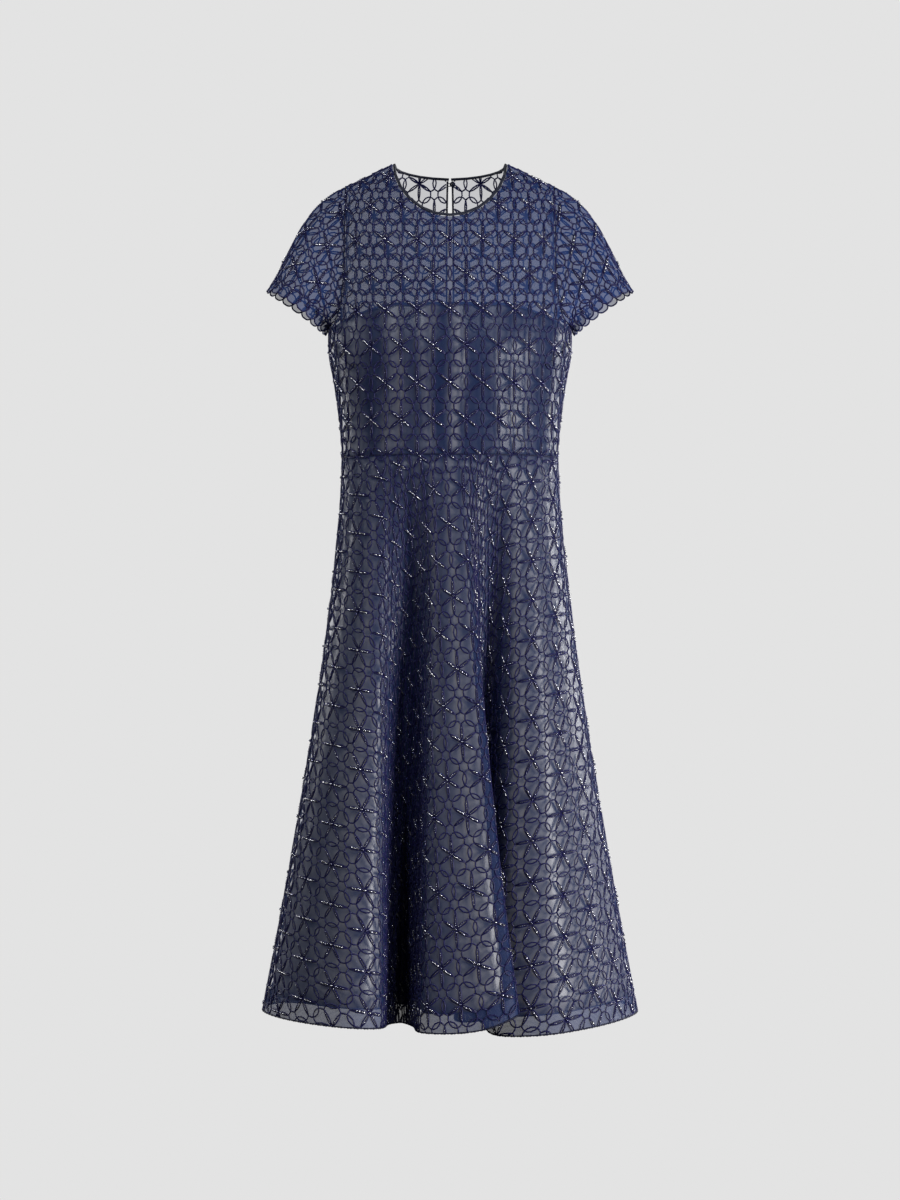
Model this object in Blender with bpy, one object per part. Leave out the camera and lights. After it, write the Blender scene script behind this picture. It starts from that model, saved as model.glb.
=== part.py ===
"""A round-necked cocktail dress, filled out as if worn: sheer outer dress, strapless slip, bindings and zip.

Metres, +Z up, front towards -Y, the wearer's left towards +X. The origin is midway between the two
points where neck and shoulder meet, which is where the wearer's shoulders hold the dress up.
Each cloth piece is a thin wall: a grid of outer points and the same grid moved inwards by its thickness.
A grid's rows run upwards and its columns run anticlockwise seen from above, so its faces point outwards.
"""

import math

import bpy
import numpy as np

CLOTH = 0.001  # wall of every cloth piece
SEAM_GAP = 0.0003  # between neighbouring pieces

# Lengths of the dress, measured down from the origin.
WAIST = -0.410
SKIRT_LENGTH = 0.7714
UNDERARM = -0.226
SHOULDER_TIP = -0.031
NECK_FRONT = -0.084
NECK_BACK = -0.011
SLIT_END = -0.216
SLIT_START = 0.012  # height over which the slit opens above its end

# Widths from the centre line.
NECK_HALF = 0.0805
SHOULDER_HALF = 0.146
UNDERARM_HALF = 0.1663
SHOULDER_ROUND = 0.075  # depth below the shoulder seam over which the shoulder rounds off

# A half panel's grid. Below the armhole it runs from the centre to the side seam, above it from the
# centre to the armhole's edge, and its columns end on the neck and the shoulder seam.
NECK_STEPS = 6
SHOULDER_STEPS = 3
UNDERARM_STEPS = 4
LOWER_ROWS = (0, 0.27, 0.54, 0.77)  # shares of the way from the waist to the armhole's level
UPPER_ROWS = (0, 0.06, 0.22, 0.42, 0.62, 0.80, 0.92, 1)  # and from there to the upper edge
ARMHOLE_BEND = 60  # degrees round the armhole, from the shoulder, at which its edge turns to the underarm

# The torso that the bodice is cut for, level by level.
# height, half width, depth to the front, depth to the back, squareness (1 is an ellipse, less is boxier)
TORSO = (
    (-0.410, 0.151, 0.093, 0.086, 1.00),
    (-0.360, 0.1545, 0.098, 0.083, 1.00),
    (-0.310, 0.1615, 0.110, 0.084, 0.96),
    (-0.265, 0.169, 0.119, 0.088, 0.92),
    (-0.226, 0.1695, 0.115, 0.091, 0.86),
    (-0.150, 0.161, 0.096, 0.096, 0.78),
    (-0.080, 0.156, 0.079, 0.092, 0.78),
    (-0.030, 0.152, 0.066, 0.078, 0.80),
    (0.000, 0.150, 0.060, 0.070, 0.80),
)

# The hem seen from above: a row for each flute's crest, side and valley, anticlockwise from the front.
# name, across, front to back, rise of the hem there, angle on the half-circle cut (None: by its length)
FOLDS = (
    ("middle fold", 0.018, -0.184, -0.002, 0.0),
    ("middle fold left of centre", 0.062, -0.190, 0.008, None),
    ("middle fold edge", 0.096, -0.176, 0.024, 4.3),
    ("edge turned under", 0.074, -0.152, 0.018, None),
    ("under the edge", 0.034, -0.140, 0.006, None),
    ("front left valley in", 0.008, -0.096, 0.000, None),
    ("front left valley", 0.018, -0.024, 0.000, None),
    ("front left valley out", 0.044, -0.082, -0.006, None),
    ("front left panel start", 0.058, -0.134, -0.013, None),
    ("front left panel", 0.122, -0.166, -0.008, 24.4),
    ("front left panel turn", 0.180, -0.146, -0.003, None),
    ("left roll", 0.232, -0.092, 0.000, 32.0),
    ("left side", 0.262, -0.010, 0.000, None),
    ("left side back", 0.240, 0.058, 0.000, None),
    ("left side valley", 0.178, 0.050, 0.000, 44.0),
    ("back left lobe in", 0.186, 0.116, 0.000, None),
    ("back left lobe", 0.166, 0.152, 0.000, 51.0),
    ("back left lobe out", 0.138, 0.136, 0.000, None),
    ("back left valley", 0.122, 0.080, 0.000, 58.0),
    ("back left valley out", 0.104, 0.084, 0.000, None),
    ("inner left lobe in", 0.104, 0.144, 0.000, None),
    ("inner left lobe", 0.078, 0.186, 0.000, 67.0),
    ("inner left lobe out", 0.054, 0.150, 0.000, None),
    ("inner left valley", 0.052, 0.080, 0.000, 75.0),
    ("centre back valley left", 0.032, 0.078, 0.000, None),
    ("centre back fold left", 0.028, 0.156, 0.000, None),
    ("centre back fold", 0.000, 0.198, 0.000, 90.0),
    ("centre back fold right", -0.028, 0.160, 0.000, None),
    ("centre back valley right", -0.030, 0.082, 0.000, None),
    ("inner right valley", -0.052, 0.078, 0.000, 105.0),
    ("inner right lobe out", -0.056, 0.146, 0.000, None),
    ("inner right lobe", -0.082, 0.184, 0.000, 113.0),
    ("inner right lobe in", -0.106, 0.146, 0.000, None),
    ("back right valley out", -0.106, 0.086, 0.000, None),
    ("back right valley", -0.126, 0.078, 0.000, 122.0),
    ("back right lobe out", -0.142, 0.136, 0.000, None),
    ("back right lobe", -0.170, 0.156, 0.000, 129.0),
    ("back right lobe in", -0.190, 0.118, 0.000, None),
    ("right side valley", -0.180, 0.048, 0.000, 136.0),
    ("right side back", -0.240, 0.060, 0.000, None),
    ("right side", -0.262, -0.010, 0.002, None),
    ("right roll", -0.236, -0.090, 0.004, 148.6),
    ("front right panel", -0.186, -0.146, 0.004, None),
    ("front right panel front", -0.132, -0.174, 0.003, None),
    ("front right fold edge", -0.094, -0.160, 0.000, 157.6),
    ("front right valley in", -0.084, -0.096, -0.005, None),
    ("front right valley", -0.068, -0.018, -0.016, None),
    ("front right valley out", -0.050, -0.096, -0.008, None),
    ("middle fold right", -0.038, -0.164, -0.005, 176.2),
)
CUT_ANGLE = 180.0  # the skirt is cut as a half circle
FLARE = 0.77  # below 1 the skirt's sides are slightly hollow
HEM_SOFTNESS = 0.009  # rounding of the flutes along the hem
WAIST_SOFTNESS = 0.025  # and near the waist, where they die away
FINE = 1800  # points in a ring before its columns are chosen

SKIRT_FALLS = (1, 1 - 0.021 / 0.7714, 0.72, 0.44, 0.20, 0)  # of the grid's rows; the second is the hem band

# The slip under the dress.
LINING_TUCK = 0.28  # how far the yoke's lining runs into the slip, as a share of the panel's row there
LINING_INSET = 0.0008  # its edges' distance from the armholes, the neck and the shoulder seams
SLIP_TOP_CENTRE = -0.204
SLIP_TOP_SIDE = -0.231
SLIP_EASE_WAIST = 0.0029  # from the dress's outer face to the slip's, at the waist
SLIP_EASE_BUST = 0.0045  # over the bodice
SLIP_EASE = 0.006  # and down the skirt
SLIP_TIP_EASE = 0.022  # more at the tips of the flutes
SLIP_FALLS = (0.966, 0.70, 0.44, 0.20, 0)

SLIP_SOFTNESS = 0.006  # rounding of its flutes along the hem
SLIP_WAIST_SOFTNESS = 0.014

# Sleeves.
SLEEVE_TIP = (0.256, -0.178)  # outer end of the hem, across and up
SLEEVE_INNER = (0.1745, -0.238)  # inner end of the hem
SLEEVE_HALF_DEPTH = 0.055
SLEEVE_HEAD = 1.0  # how far the sleeve head leans outwards
SLEEVE_FULLNESS = 1.3  # and how full it is
SLEEVE_LIFT = 0.006  # front and back of the hem above the line between its ends
SCALLOP = 0.0035
SLEEVE_STEPS = 2  # columns to each step of the armhole
SLEEVE_ROWS = (1, 0.72, 0.42, 0.16, 0)  # shares of the way from the armhole to the hem

# Trimmings.
HEM_BAND = 0.021
BINDING_WIDTH = 0.0042
BINDING_THICKNESS = 0.0024
SLIT_HALF_TOP = 0.0021
SLIT_HALF = 0.0034
SLIT_BINDING_WIDTH = 0.0030
SLIT_BINDING_THICKNESS = 0.0019
ZIP_WIDTH = 0.024
ZIP_TOP = -0.222
ZIP_END_FALL = 0.235  # how far down the skirt the zip runs, as a share of its length
BUTTON_HEIGHT = -0.0165
BUTTON_RADIUS = 0.0042
SHANK_RADIUS = 0.0012
SHANK_LENGTH = 0.0019
BUTTON_DOME = 0.0024
LOOP_RADIUS = 0.0022
LOOP_CORD = 0.0006
SLIDER_HEIGHT = -0.228
SLIDER_LENGTH = 0.0110
SLIDER_WIDTH = 0.0062
SLIDER_THICKNESS = 0.0018
BAR_HEIGHT = 0.0042  # of the bar's axis above the cloth
BAR_RADIUS = 0.0007
LEG_GAP = 0.0036
LEG_THICKNESS = 0.0008
LEG_WIDTH = 0.0024
EYE_RADIUS = 0.0011
BARREL_RADIUS = 0.0019
BARREL_LENGTH = 0.0030
PULL_LENGTH = 0.0220
PULL_WIDTH = 0.0052
PULL_THICKNESS = 0.0014
PULL_NECK = 0.0034  # from the bar's axis to where the pull widens

MIRROR = np.array([-1, 1, 1])  # from the wearer's left to the right

NAVY = (0.035, 0.045, 0.115, 1.0)
DEEP_NAVY = (0.020, 0.026, 0.070, 1.0)
DARK_NAVY = (0.015, 0.018, 0.050, 1.0)
SLIP_GREY = (0.075, 0.070, 0.078, 1.0)
GUNMETAL = (0.10, 0.11, 0.15, 1.0)


def clear_scene():
    for obj in list(bpy.data.objects):
        bpy.data.objects.remove(obj, do_unlink=True)


def material(name, colour, roughness, metallic=0.0):
    made = bpy.data.materials.new(name)
    made.use_nodes = True
    shader = made.node_tree.nodes["Principled BSDF"]
    shader.inputs["Base Color"].default_value = colour
    shader.inputs["Roughness"].default_value = roughness
    shader.inputs["Metallic"].default_value = metallic
    return made


def unit(vectors):
    return vectors / np.linalg.norm(vectors, axis=-1, keepdims=True)


def add_mesh(name, points, faces, finish):
    mesh = bpy.data.meshes.new(name)
    mesh.from_pydata([tuple(p) for p in points], [], [tuple(f) for f in faces])
    if finish is not None:
        mesh.materials.append(finish)
    mesh.shade_smooth()
    mesh.set_sharp_from_angle(angle=math.radians(40))
    made = bpy.data.objects.new(name, mesh)
    bpy.context.scene.collection.objects.link(made)
    return made


# ---------------------------------------------------------------- walls from grids


def grid_normals(points, closed):
    """Outward unit normals of a grid: the direction along a row crossed with the direction up a column."""
    if closed:
        along = np.roll(points, -1, 1) - np.roll(points, 1, 1)
    else:
        along = np.gradient(points, axis=1)
    return unit(np.cross(along, np.gradient(points, axis=0)))


def wall(name, outer, normals, finish, closed=False, keep=None):
    """A closed solid between a grid and the same grid moved inwards along its normals. Keep says which
    cells are cloth. Each is split along its shorter diagonal, and edges with cloth on one side get a rim."""
    rows, columns = outer.shape[:2]
    index = np.arange(rows * columns).reshape(rows, columns)
    if closed:
        index = np.concatenate([index, index[:, :1]], axis=1)
    quads = np.stack([index[:-1, :-1], index[:-1, 1:], index[1:, 1:], index[1:, :-1]], axis=-1)
    quads = quads.reshape(-1, 4) if keep is None else quads[keep]
    points = outer.reshape(-1, 3)
    a, b, c, d = points[quads].transpose(1, 0, 2)
    long = np.linalg.norm(a - c, axis=1) > np.linalg.norm(b - d, axis=1)
    quads[long] = np.roll(quads[long], -1, axis=1)
    skin = np.concatenate([quads[:, [0, 1, 2]], quads[:, [0, 2, 3]]])
    edges = np.concatenate([skin[:, [0, 1]], skin[:, [1, 2]], skin[:, [2, 0]]])
    total = rows * columns
    rim = edges[~np.isin(edges[:, 1] * total + edges[:, 0], edges[:, 0] * total + edges[:, 1])]
    start, end = rim.T
    faces = np.concatenate([
        skin,
        skin[:, ::-1] + total,
        np.stack([end, start, start + total], axis=1),
        np.stack([end, start + total, end + total], axis=1),
    ])
    points = np.concatenate([points, points - CLOTH * normals.reshape(-1, 3)])
    used, faces = np.unique(faces, return_inverse=True)
    return add_mesh(name, points[used], faces.reshape(-1, 3), finish)


def parted(points, sides=True, ends=True):
    """The grid with its edges drawn in by half a seam gap."""
    points = points.copy()
    half = SEAM_GAP / 2
    if sides:
        points[:, 0] += half * unit(points[:, 1] - points[:, 0])
        points[:, -1] += half * unit(points[:, -2] - points[:, -1])
    if ends:
        points[0] += half * unit(points[1] - points[0])
        points[-1] += half * unit(points[-2] - points[-1])
    return points


def tube(name, centres, across, outwards, width, thickness, finish):
    """A flat-oval binding: six points round each centre, lying across and outwards, with capped ends."""
    corners = [(math.cos(math.radians(a)), math.sin(math.radians(a))) for a in range(0, 360, 60)]
    rings = [
        centres + c * width / 2 * across + s * thickness / 2 * outwards for c, s in corners
    ]
    points = np.stack(rings, axis=1).reshape(-1, 3)
    count = len(centres)
    faces = []
    for i in range(count - 1):
        for k in range(6):
            a, b = i * 6 + k, i * 6 + (k + 1) % 6
            faces.append((a, a + 6, b + 6, b))
    faces.append(tuple(range(6)))
    faces.append(tuple(reversed(range(count * 6 - 6, count * 6))))
    made = add_mesh(name, points, faces, finish)
    return made


# ---------------------------------------------------------------- the torso and the bodice


def from_table(heights, column):
    """A smooth curve through one column of TORSO: cubic between rows, with the slope of its neighbours."""
    rows = np.array(TORSO)
    at, value = rows[:, 0], rows[:, column]
    slope = np.gradient(value, at)
    heights = np.clip(heights, at[0], at[-1])
    low = np.clip(np.searchsorted(at, heights, side="right") - 1, 0, len(at) - 2)
    step = at[low + 1] - at[low]
    t = (heights - at[low]) / step
    return (
        value[low] * (1 + 2 * t) * (1 - t) ** 2
        + value[low + 1] * t**2 * (3 - 2 * t)
        + step * slope[low] * t * (1 - t) ** 2
        + step * slope[low + 1] * t**2 * (t - 1)
    )


def shoulder_height(across):
    slope = (0 - SHOULDER_TIP) / (SHOULDER_HALF - NECK_HALF)
    return (NECK_HALF - np.abs(across)) * slope


def torso(turn, heights, ease=0.0):
    """Points of the torso: turn is 0 at the front, 90 at the wearer's left, in degrees.
    Half width times the sine, and depth times a power of the cosine, rounded off towards the shoulder
    seam."""
    sine, cosine = np.sin(np.radians(turn)), np.cos(np.radians(turn))
    across = (from_table(heights, 1) - ease) * sine
    depth = np.where(cosine > 0, from_table(heights, 2), from_table(heights, 3)) - ease
    below = np.clip((shoulder_height(across) - heights) / SHOULDER_ROUND, 0, 1)
    rounding = np.sqrt(np.clip(1 - (1 - below) ** 2, 0, 1))
    deep = np.sign(cosine) * np.abs(cosine) ** from_table(heights, 4)
    return np.stack([across, -depth * deep * rounding, heights + 0 * across], axis=-1)


def torso_normals(turn, heights, ease=0.0):
    """Outward normals of the torso from small steps round it and up it, taken just below the shoulder
    seam. On the side and shoulder seams they lie in the seam's plane, so that both walls stop there."""
    here = torso(turn, heights, ease)
    low = np.minimum(heights, shoulder_height(here[..., 0]) - 0.004)
    small = 0.0005
    along = torso(turn + 0.2, low, ease) - torso(turn - 0.2, low, ease)
    up = torso(turn, low + small, ease) - torso(turn, low - small, ease)
    normals = unit(np.cross(along, up))
    normals[..., 1] = np.where(np.abs(here[..., 1]) < 1e-6, 0, normals[..., 1])
    normals[..., 0] = np.where(np.abs(here[..., 0]) < 1e-6, 0, normals[..., 0])
    return unit(normals)


def armhole(angle):
    """(across, height) of the armhole's edge: 0 degrees at the shoulder tip, 90 at the underarm."""
    a = np.radians(angle)
    across = SHOULDER_HALF + (UNDERARM_HALF - SHOULDER_HALF) * (1 - np.cos(a)) ** 2
    return across, SHOULDER_TIP + (UNDERARM - SHOULDER_TIP) * np.sin(a)


def turn_at(across, heights):
    return np.degrees(np.arcsin(np.clip(across / from_table(heights, 1), 0, 1)))


def armhole_level():
    """Turns and heights of the row at the armhole's level: from the centre to the armhole's bend by even
    steps, then along the bottom of the armhole to the side seam."""
    inner = NECK_STEPS + SHOULDER_STEPS
    across, bend = armhole(ARMHOLE_BEND)
    turns = np.linspace(0, turn_at(across, bend), inner + 1)
    heights = SLIT_END + (bend - SLIT_END) * np.linspace(0, 1, inner + 1)
    across, low = armhole(np.linspace(ARMHOLE_BEND, 90, UNDERARM_STEPS + 1)[1:])
    under = turn_at(across, low)
    under[-1] = 90
    return np.concatenate([turns, under]), np.concatenate([heights, low])


def slit_edge(heights):
    """Distance of the back's edge from the centre line: bound slit above, closed seam below."""
    open_share = np.clip((heights - SLIT_END) / SLIT_START, 0, 1)
    half = SLIT_HALF + (SLIT_HALF_TOP - SLIT_HALF) * np.clip((heights + 0.075) / 0.064, 0, 1)
    return open_share * (half + SLIT_BINDING_WIDTH + SEAM_GAP)


def lower_rows(level, rows):
    """Straight columns from the waist, where they are evenly spaced, to the armhole's level."""
    turns, heights = level
    waist = np.linspace(0, 90, len(turns))
    up = np.array(rows)[:, None]
    return waist + (turns - waist) * up, WAIST + (heights - WAIST) * up


def half_panel(neck_drop, back, rows=LOWER_ROWS):
    """The turns and heights of half a panel, with the given rows below the armhole's level. Above it each
    column keeps its share of the way to the armhole's edge, moving evenly to where it ends: a quarter
    ellipse for the neck, then the straight shoulder seam. Past the edge the grid repeats the armhole, and
    that part is not kept."""
    level = armhole_level()
    turns, heights = lower_rows(level, rows)
    inner = NECK_STEPS + SHOULDER_STEPS
    a = np.radians(np.linspace(0, 90, NECK_STEPS + 1))
    t = np.linspace(0, 1, SHOULDER_STEPS + 1)[1:]
    top_across = np.concatenate([NECK_HALF * np.sin(a), NECK_HALF + t * (SHOULDER_HALF - NECK_HALF)])
    top_height = np.concatenate([neck_drop * np.cos(a), t * SHOULDER_TIP])
    bend_across, bend_height = armhole(ARMHOLE_BEND)
    up = np.array(UPPER_ROWS)[:, None]
    upper = level[1][: inner + 1] + (top_height - level[1][: inner + 1]) * up
    edge = armhole(np.degrees(np.arcsin((upper[:, -1:] - SHOULDER_TIP) / (UNDERARM - SHOULDER_TIP))))[0]
    low_across = from_table(level[1], 1)[: inner + 1] * np.sin(np.radians(level[0][: inner + 1]))
    share = low_across / bend_across + (top_across / SHOULDER_HALF - low_across / bend_across) * up
    upper_turns = turn_at(share * edge, upper)
    past = np.ones((1, UNDERARM_STEPS))
    upper_turns = np.concatenate([upper_turns, upper_turns[:, -1:] * past], axis=1)
    upper = np.concatenate([upper, upper[:, -1:] * past], axis=1)
    upper_turns[0], upper[0] = level
    turns, heights = np.concatenate([turns, upper_turns]), np.concatenate([heights, upper])
    if back:
        slit = np.degrees(np.arcsin(slit_edge(heights) / from_table(heights, 1)))
        inwards = np.clip(1 - np.arange(turns.shape[1]) / NECK_STEPS, 0, 1)
        turns = 180 - (turns + slit * inwards)
    return turns, heights


def slip_half(back):
    """The same for the slip's bodice, whose upper edge dips towards the sides."""
    turns, heights = armhole_level()
    share = np.sin(np.radians(turns))
    dip = np.clip((share - 0.50) / 0.5, 0, 1)
    top = SLIP_TOP_CENTRE + (SLIP_TOP_SIDE - SLIP_TOP_CENTRE) * dip**1.3
    turns, heights = lower_rows((turns, top), LOWER_ROWS + (1,))
    return (180 - turns if back else turns), heights


def panels(front_half, back_half, ease=0.0):
    """(points, normals) of the front, the back left and the back right, from the half on the left."""
    made = []
    for surface in (torso, torso_normals):
        left = surface(*front_half, ease)
        front = np.concatenate([left[:, :0:-1] * MIRROR, left], axis=1)
        back = surface(*back_half, ease)[:, ::-1]
        made.append((front, back, back[:, ::-1] * MIRROR))
    return list(zip(*made))


def make_bodice(outer_cloth, slip_cloth):
    """Both bodices and the sleeves. Where a sleeve carries on the line of a panel, the two share the mean
    of their normals along the armhole, so their walls stop at the same strip."""
    outer = panels(half_panel(NECK_FRONT, False), half_panel(NECK_BACK, True))
    (front, front_normals), (back_left, left_normals), (back_right, right_normals) = outer
    rows, inner = len(LOWER_ROWS), NECK_STEPS + SHOULDER_STEPS
    side = inner + UNDERARM_STEPS
    row_path = np.array([rows] * UNDERARM_STEPS + list(range(rows, rows + len(UPPER_ROWS))))
    column_path = np.array(list(range(side, inner, -1)) + [inner] * len(UPPER_ROWS))
    front_place = (row_path, side + column_path)
    back_place = (row_path, side - column_path)
    edge = np.concatenate([front[front_place], back_left[back_place][::-1][1:]])
    normals = np.concatenate([front_normals[front_place], left_normals[back_place][::-1][1:]])
    sleeve, sleeve_normals, shared = sleeve_grid(edge, normals)
    count = len(row_path)
    front_normals[front_place] = shared[:count]
    left_normals[back_place] = shared[count - 1 :][::-1]
    front_normals[row_path, side - column_path] = shared[:count] * MIRROR
    right_normals[row_path, column_path] = shared[count - 1 :][::-1] * MIRROR
    half = np.ones((rows + len(UPPER_ROWS) - 1, side), bool)
    half[rows:, inner:] = False
    whole = np.concatenate([half[:, ::-1], half], axis=1)
    for (name, keep), (points, facing) in zip(
        (("front", whole), ("back_left", half[:, ::-1]), ("back_right", half)), outer
    ):
        wall("bodice_" + name, parted(points), facing, outer_cloth, keep=keep)
    wall("sleeve_left", sleeve, sleeve_normals, outer_cloth, closed=True)
    wall("sleeve_right", sleeve[:, ::-1] * MIRROR, sleeve_normals[:, ::-1] * MIRROR, outer_cloth, closed=True)
    slip_ease = np.array([SLIP_EASE_WAIST] + [SLIP_EASE_BUST] * len(LOWER_ROWS))[:, None]
    slip = panels(slip_half(False), slip_half(True), slip_ease)
    for name, (points, facing) in zip(("front", "back_left", "back_right"), slip):
        wall("slip_bodice_" + name, parted(points), facing, slip_cloth)
    return outer


def make_yoke_lining(finish):
    """The second net behind the front's yoke. It is the front's own grid from just inside the slip's upper
    edge to the neck, moved in by the front's wall and a gap, with its edges drawn in from the seams."""
    turns, heights = half_panel(NECK_FRONT, False, LOWER_ROWS[-1:])
    facing = torso_normals(turns, heights)
    inner = NECK_STEPS + SHOULDER_STEPS
    points = torso(turns, heights) - (CLOTH + SEAM_GAP) * facing
    points[0] = points[1] + LINING_TUCK * (points[0] - points[1])
    facing[0] = unit(facing[1] + LINING_TUCK * (facing[0] - facing[1]))
    left = points.copy()
    left[1:, inner] += LINING_INSET * unit(points[1:, inner - 1] - points[1:, inner])
    left[1, inner + 1 :] += LINING_INSET * unit(points[0, inner + 1 :] - points[1, inner + 1 :])
    left[-1, : inner + 1] += LINING_INSET * unit(points[-2, : inner + 1] - points[-1, : inner + 1])
    half = np.ones((left.shape[0] - 1, left.shape[1] - 1), bool)
    half[1:, inner:] = False
    whole = np.concatenate([half[:, ::-1], half], axis=1)
    grid = np.concatenate([left[:, :0:-1] * MIRROR, left], axis=1)
    facing = np.concatenate([facing[:, :0:-1] * MIRROR, facing], axis=1)
    wall("yoke_lining", parted(grid, ends=False), facing, finish, keep=whole)


# ---------------------------------------------------------------- sleeves


def sleeve_grid(edge, edge_normals):
    """A tube from the armhole to a tilted oval hem, as points and normals from the hem up, and the body's
    normals along the armhole. The armhole's points run from the underarm by the front. Each column leaves
    it outwards, which rounds the sleeve head, and ends square to the hem. Every second point of the hem is
    lower, for the scallops."""
    share = np.arange(SLEEVE_STEPS)[:, None] / SLEEVE_STEPS

    def between(values):
        ahead = np.concatenate([values[1:], values[:1]])[: len(values) - 1]
        return np.concatenate([a + share * (b - a) for a, b in zip(values[:-1], ahead)])

    base, body_normals = between(edge), unit(between(edge_normals))
    count = len(base)
    angle = 2 * math.pi * np.arange(count) / count
    tip, inner = np.array(SLEEVE_TIP), np.array(SLEEVE_INNER)
    middle, reach = (tip + inner) / 2, (inner - tip) / 2
    hem = np.zeros((count, 3))
    hem[:, ::2] = middle + np.cos(angle)[:, None] * reach
    hem[:, 1] = -SLEEVE_HALF_DEPTH * np.sin(angle)
    hem[:, 2] += SLEEVE_LIFT * np.sin(angle) ** 2
    down = np.array([-reach[1], 0, reach[0]]) / np.linalg.norm(reach)
    down *= -np.sign(down[2])
    length = np.linalg.norm(hem - base, axis=1, keepdims=True)
    start = unit((hem - base) / length + SLEEVE_HEAD * np.array([1.0, 0, 0]))
    base = base + 1.5 * SEAM_GAP * start
    t = np.array(SLEEVE_ROWS)[:, None, None]
    path = (
        base * (1 + 2 * t) * (1 - t) ** 2
        + hem * t**2 * (3 - 2 * t)
        + SLEEVE_FULLNESS * length * start * t * (1 - t) ** 2
        + length * down * t**2 * (t - 1)
    )
    path[0, 1::2] += SCALLOP * down
    normals = grid_normals(path, True)
    sleeve_own = normals[-1]
    share = np.clip(2 * (sleeve_own * body_normals).sum(axis=1, keepdims=True) - 0.6, 0, 1)
    normals[-1] = unit(sleeve_own + body_normals * share)
    body = unit(body_normals + sleeve_own * share)[::SLEEVE_STEPS]
    return path, normals, np.concatenate([body, body[:1]])


# ---------------------------------------------------------------- the skirt


def run_of(ring):
    """Distance along a closed ring to each of its points, and all the way round."""
    steps = np.linalg.norm(np.diff(np.concatenate([ring, ring[:1]])[:, :2], axis=0), axis=1)
    return np.concatenate([[0], np.cumsum(steps)])


def at_shares(ring, shares):
    """Points of a closed ring at shares of its length."""
    run = run_of(ring)
    loop = np.concatenate([ring, ring[:1]])
    return np.stack([np.interp(shares * run[-1], run, c) for c in loop.T], axis=1)


def through(corners, steps=90):
    """A closed centripetal Catmull-Rom curve through the corners."""
    pieces = []
    for i in range(len(corners)):
        p = [corners[(i + k) % len(corners)] for k in (-1, 0, 1, 2)]
        knot = np.cumsum([0] + [np.linalg.norm((b - a)[:2]) ** 0.5 for a, b in zip(p, p[1:])])
        t = np.linspace(knot[1], knot[2], steps, endpoint=False)[:, None]
        level = p
        for span in (1, 2, 3):
            level = [
                ((knot[k + span] - t) * level[k] + (t - knot[k]) * level[k + 1])
                / (knot[k + span] - knot[k])
                if span != 3
                else ((knot[2] - t) * level[k] + (t - knot[1]) * level[k + 1]) / (knot[2] - knot[1])
                for k in range(4 - span)
            ]
        pieces.append(level[0])
    return np.concatenate(pieces)


def softened(ring, spread, length=None):
    """The ring with a bell-shaped average taken along it, over the given distance."""
    step = (length or run_of(ring)[-1]) / len(ring)
    reach = int(3 * spread / step) + 1
    weights = np.exp(-0.5 * (np.arange(-reach, reach + 1) * step / spread) ** 2)
    weights /= weights.sum()
    return sum(w * np.roll(ring, k - reach, axis=0) for k, w in enumerate(weights))


def plan_normals(ring):
    """Outward normals of a ring, seen from above."""
    along = unit((np.roll(ring, -1, 0) - np.roll(ring, 1, 0))[:, :2])
    return np.stack([along[:, 1], -along[:, 0]], axis=1)


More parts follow.
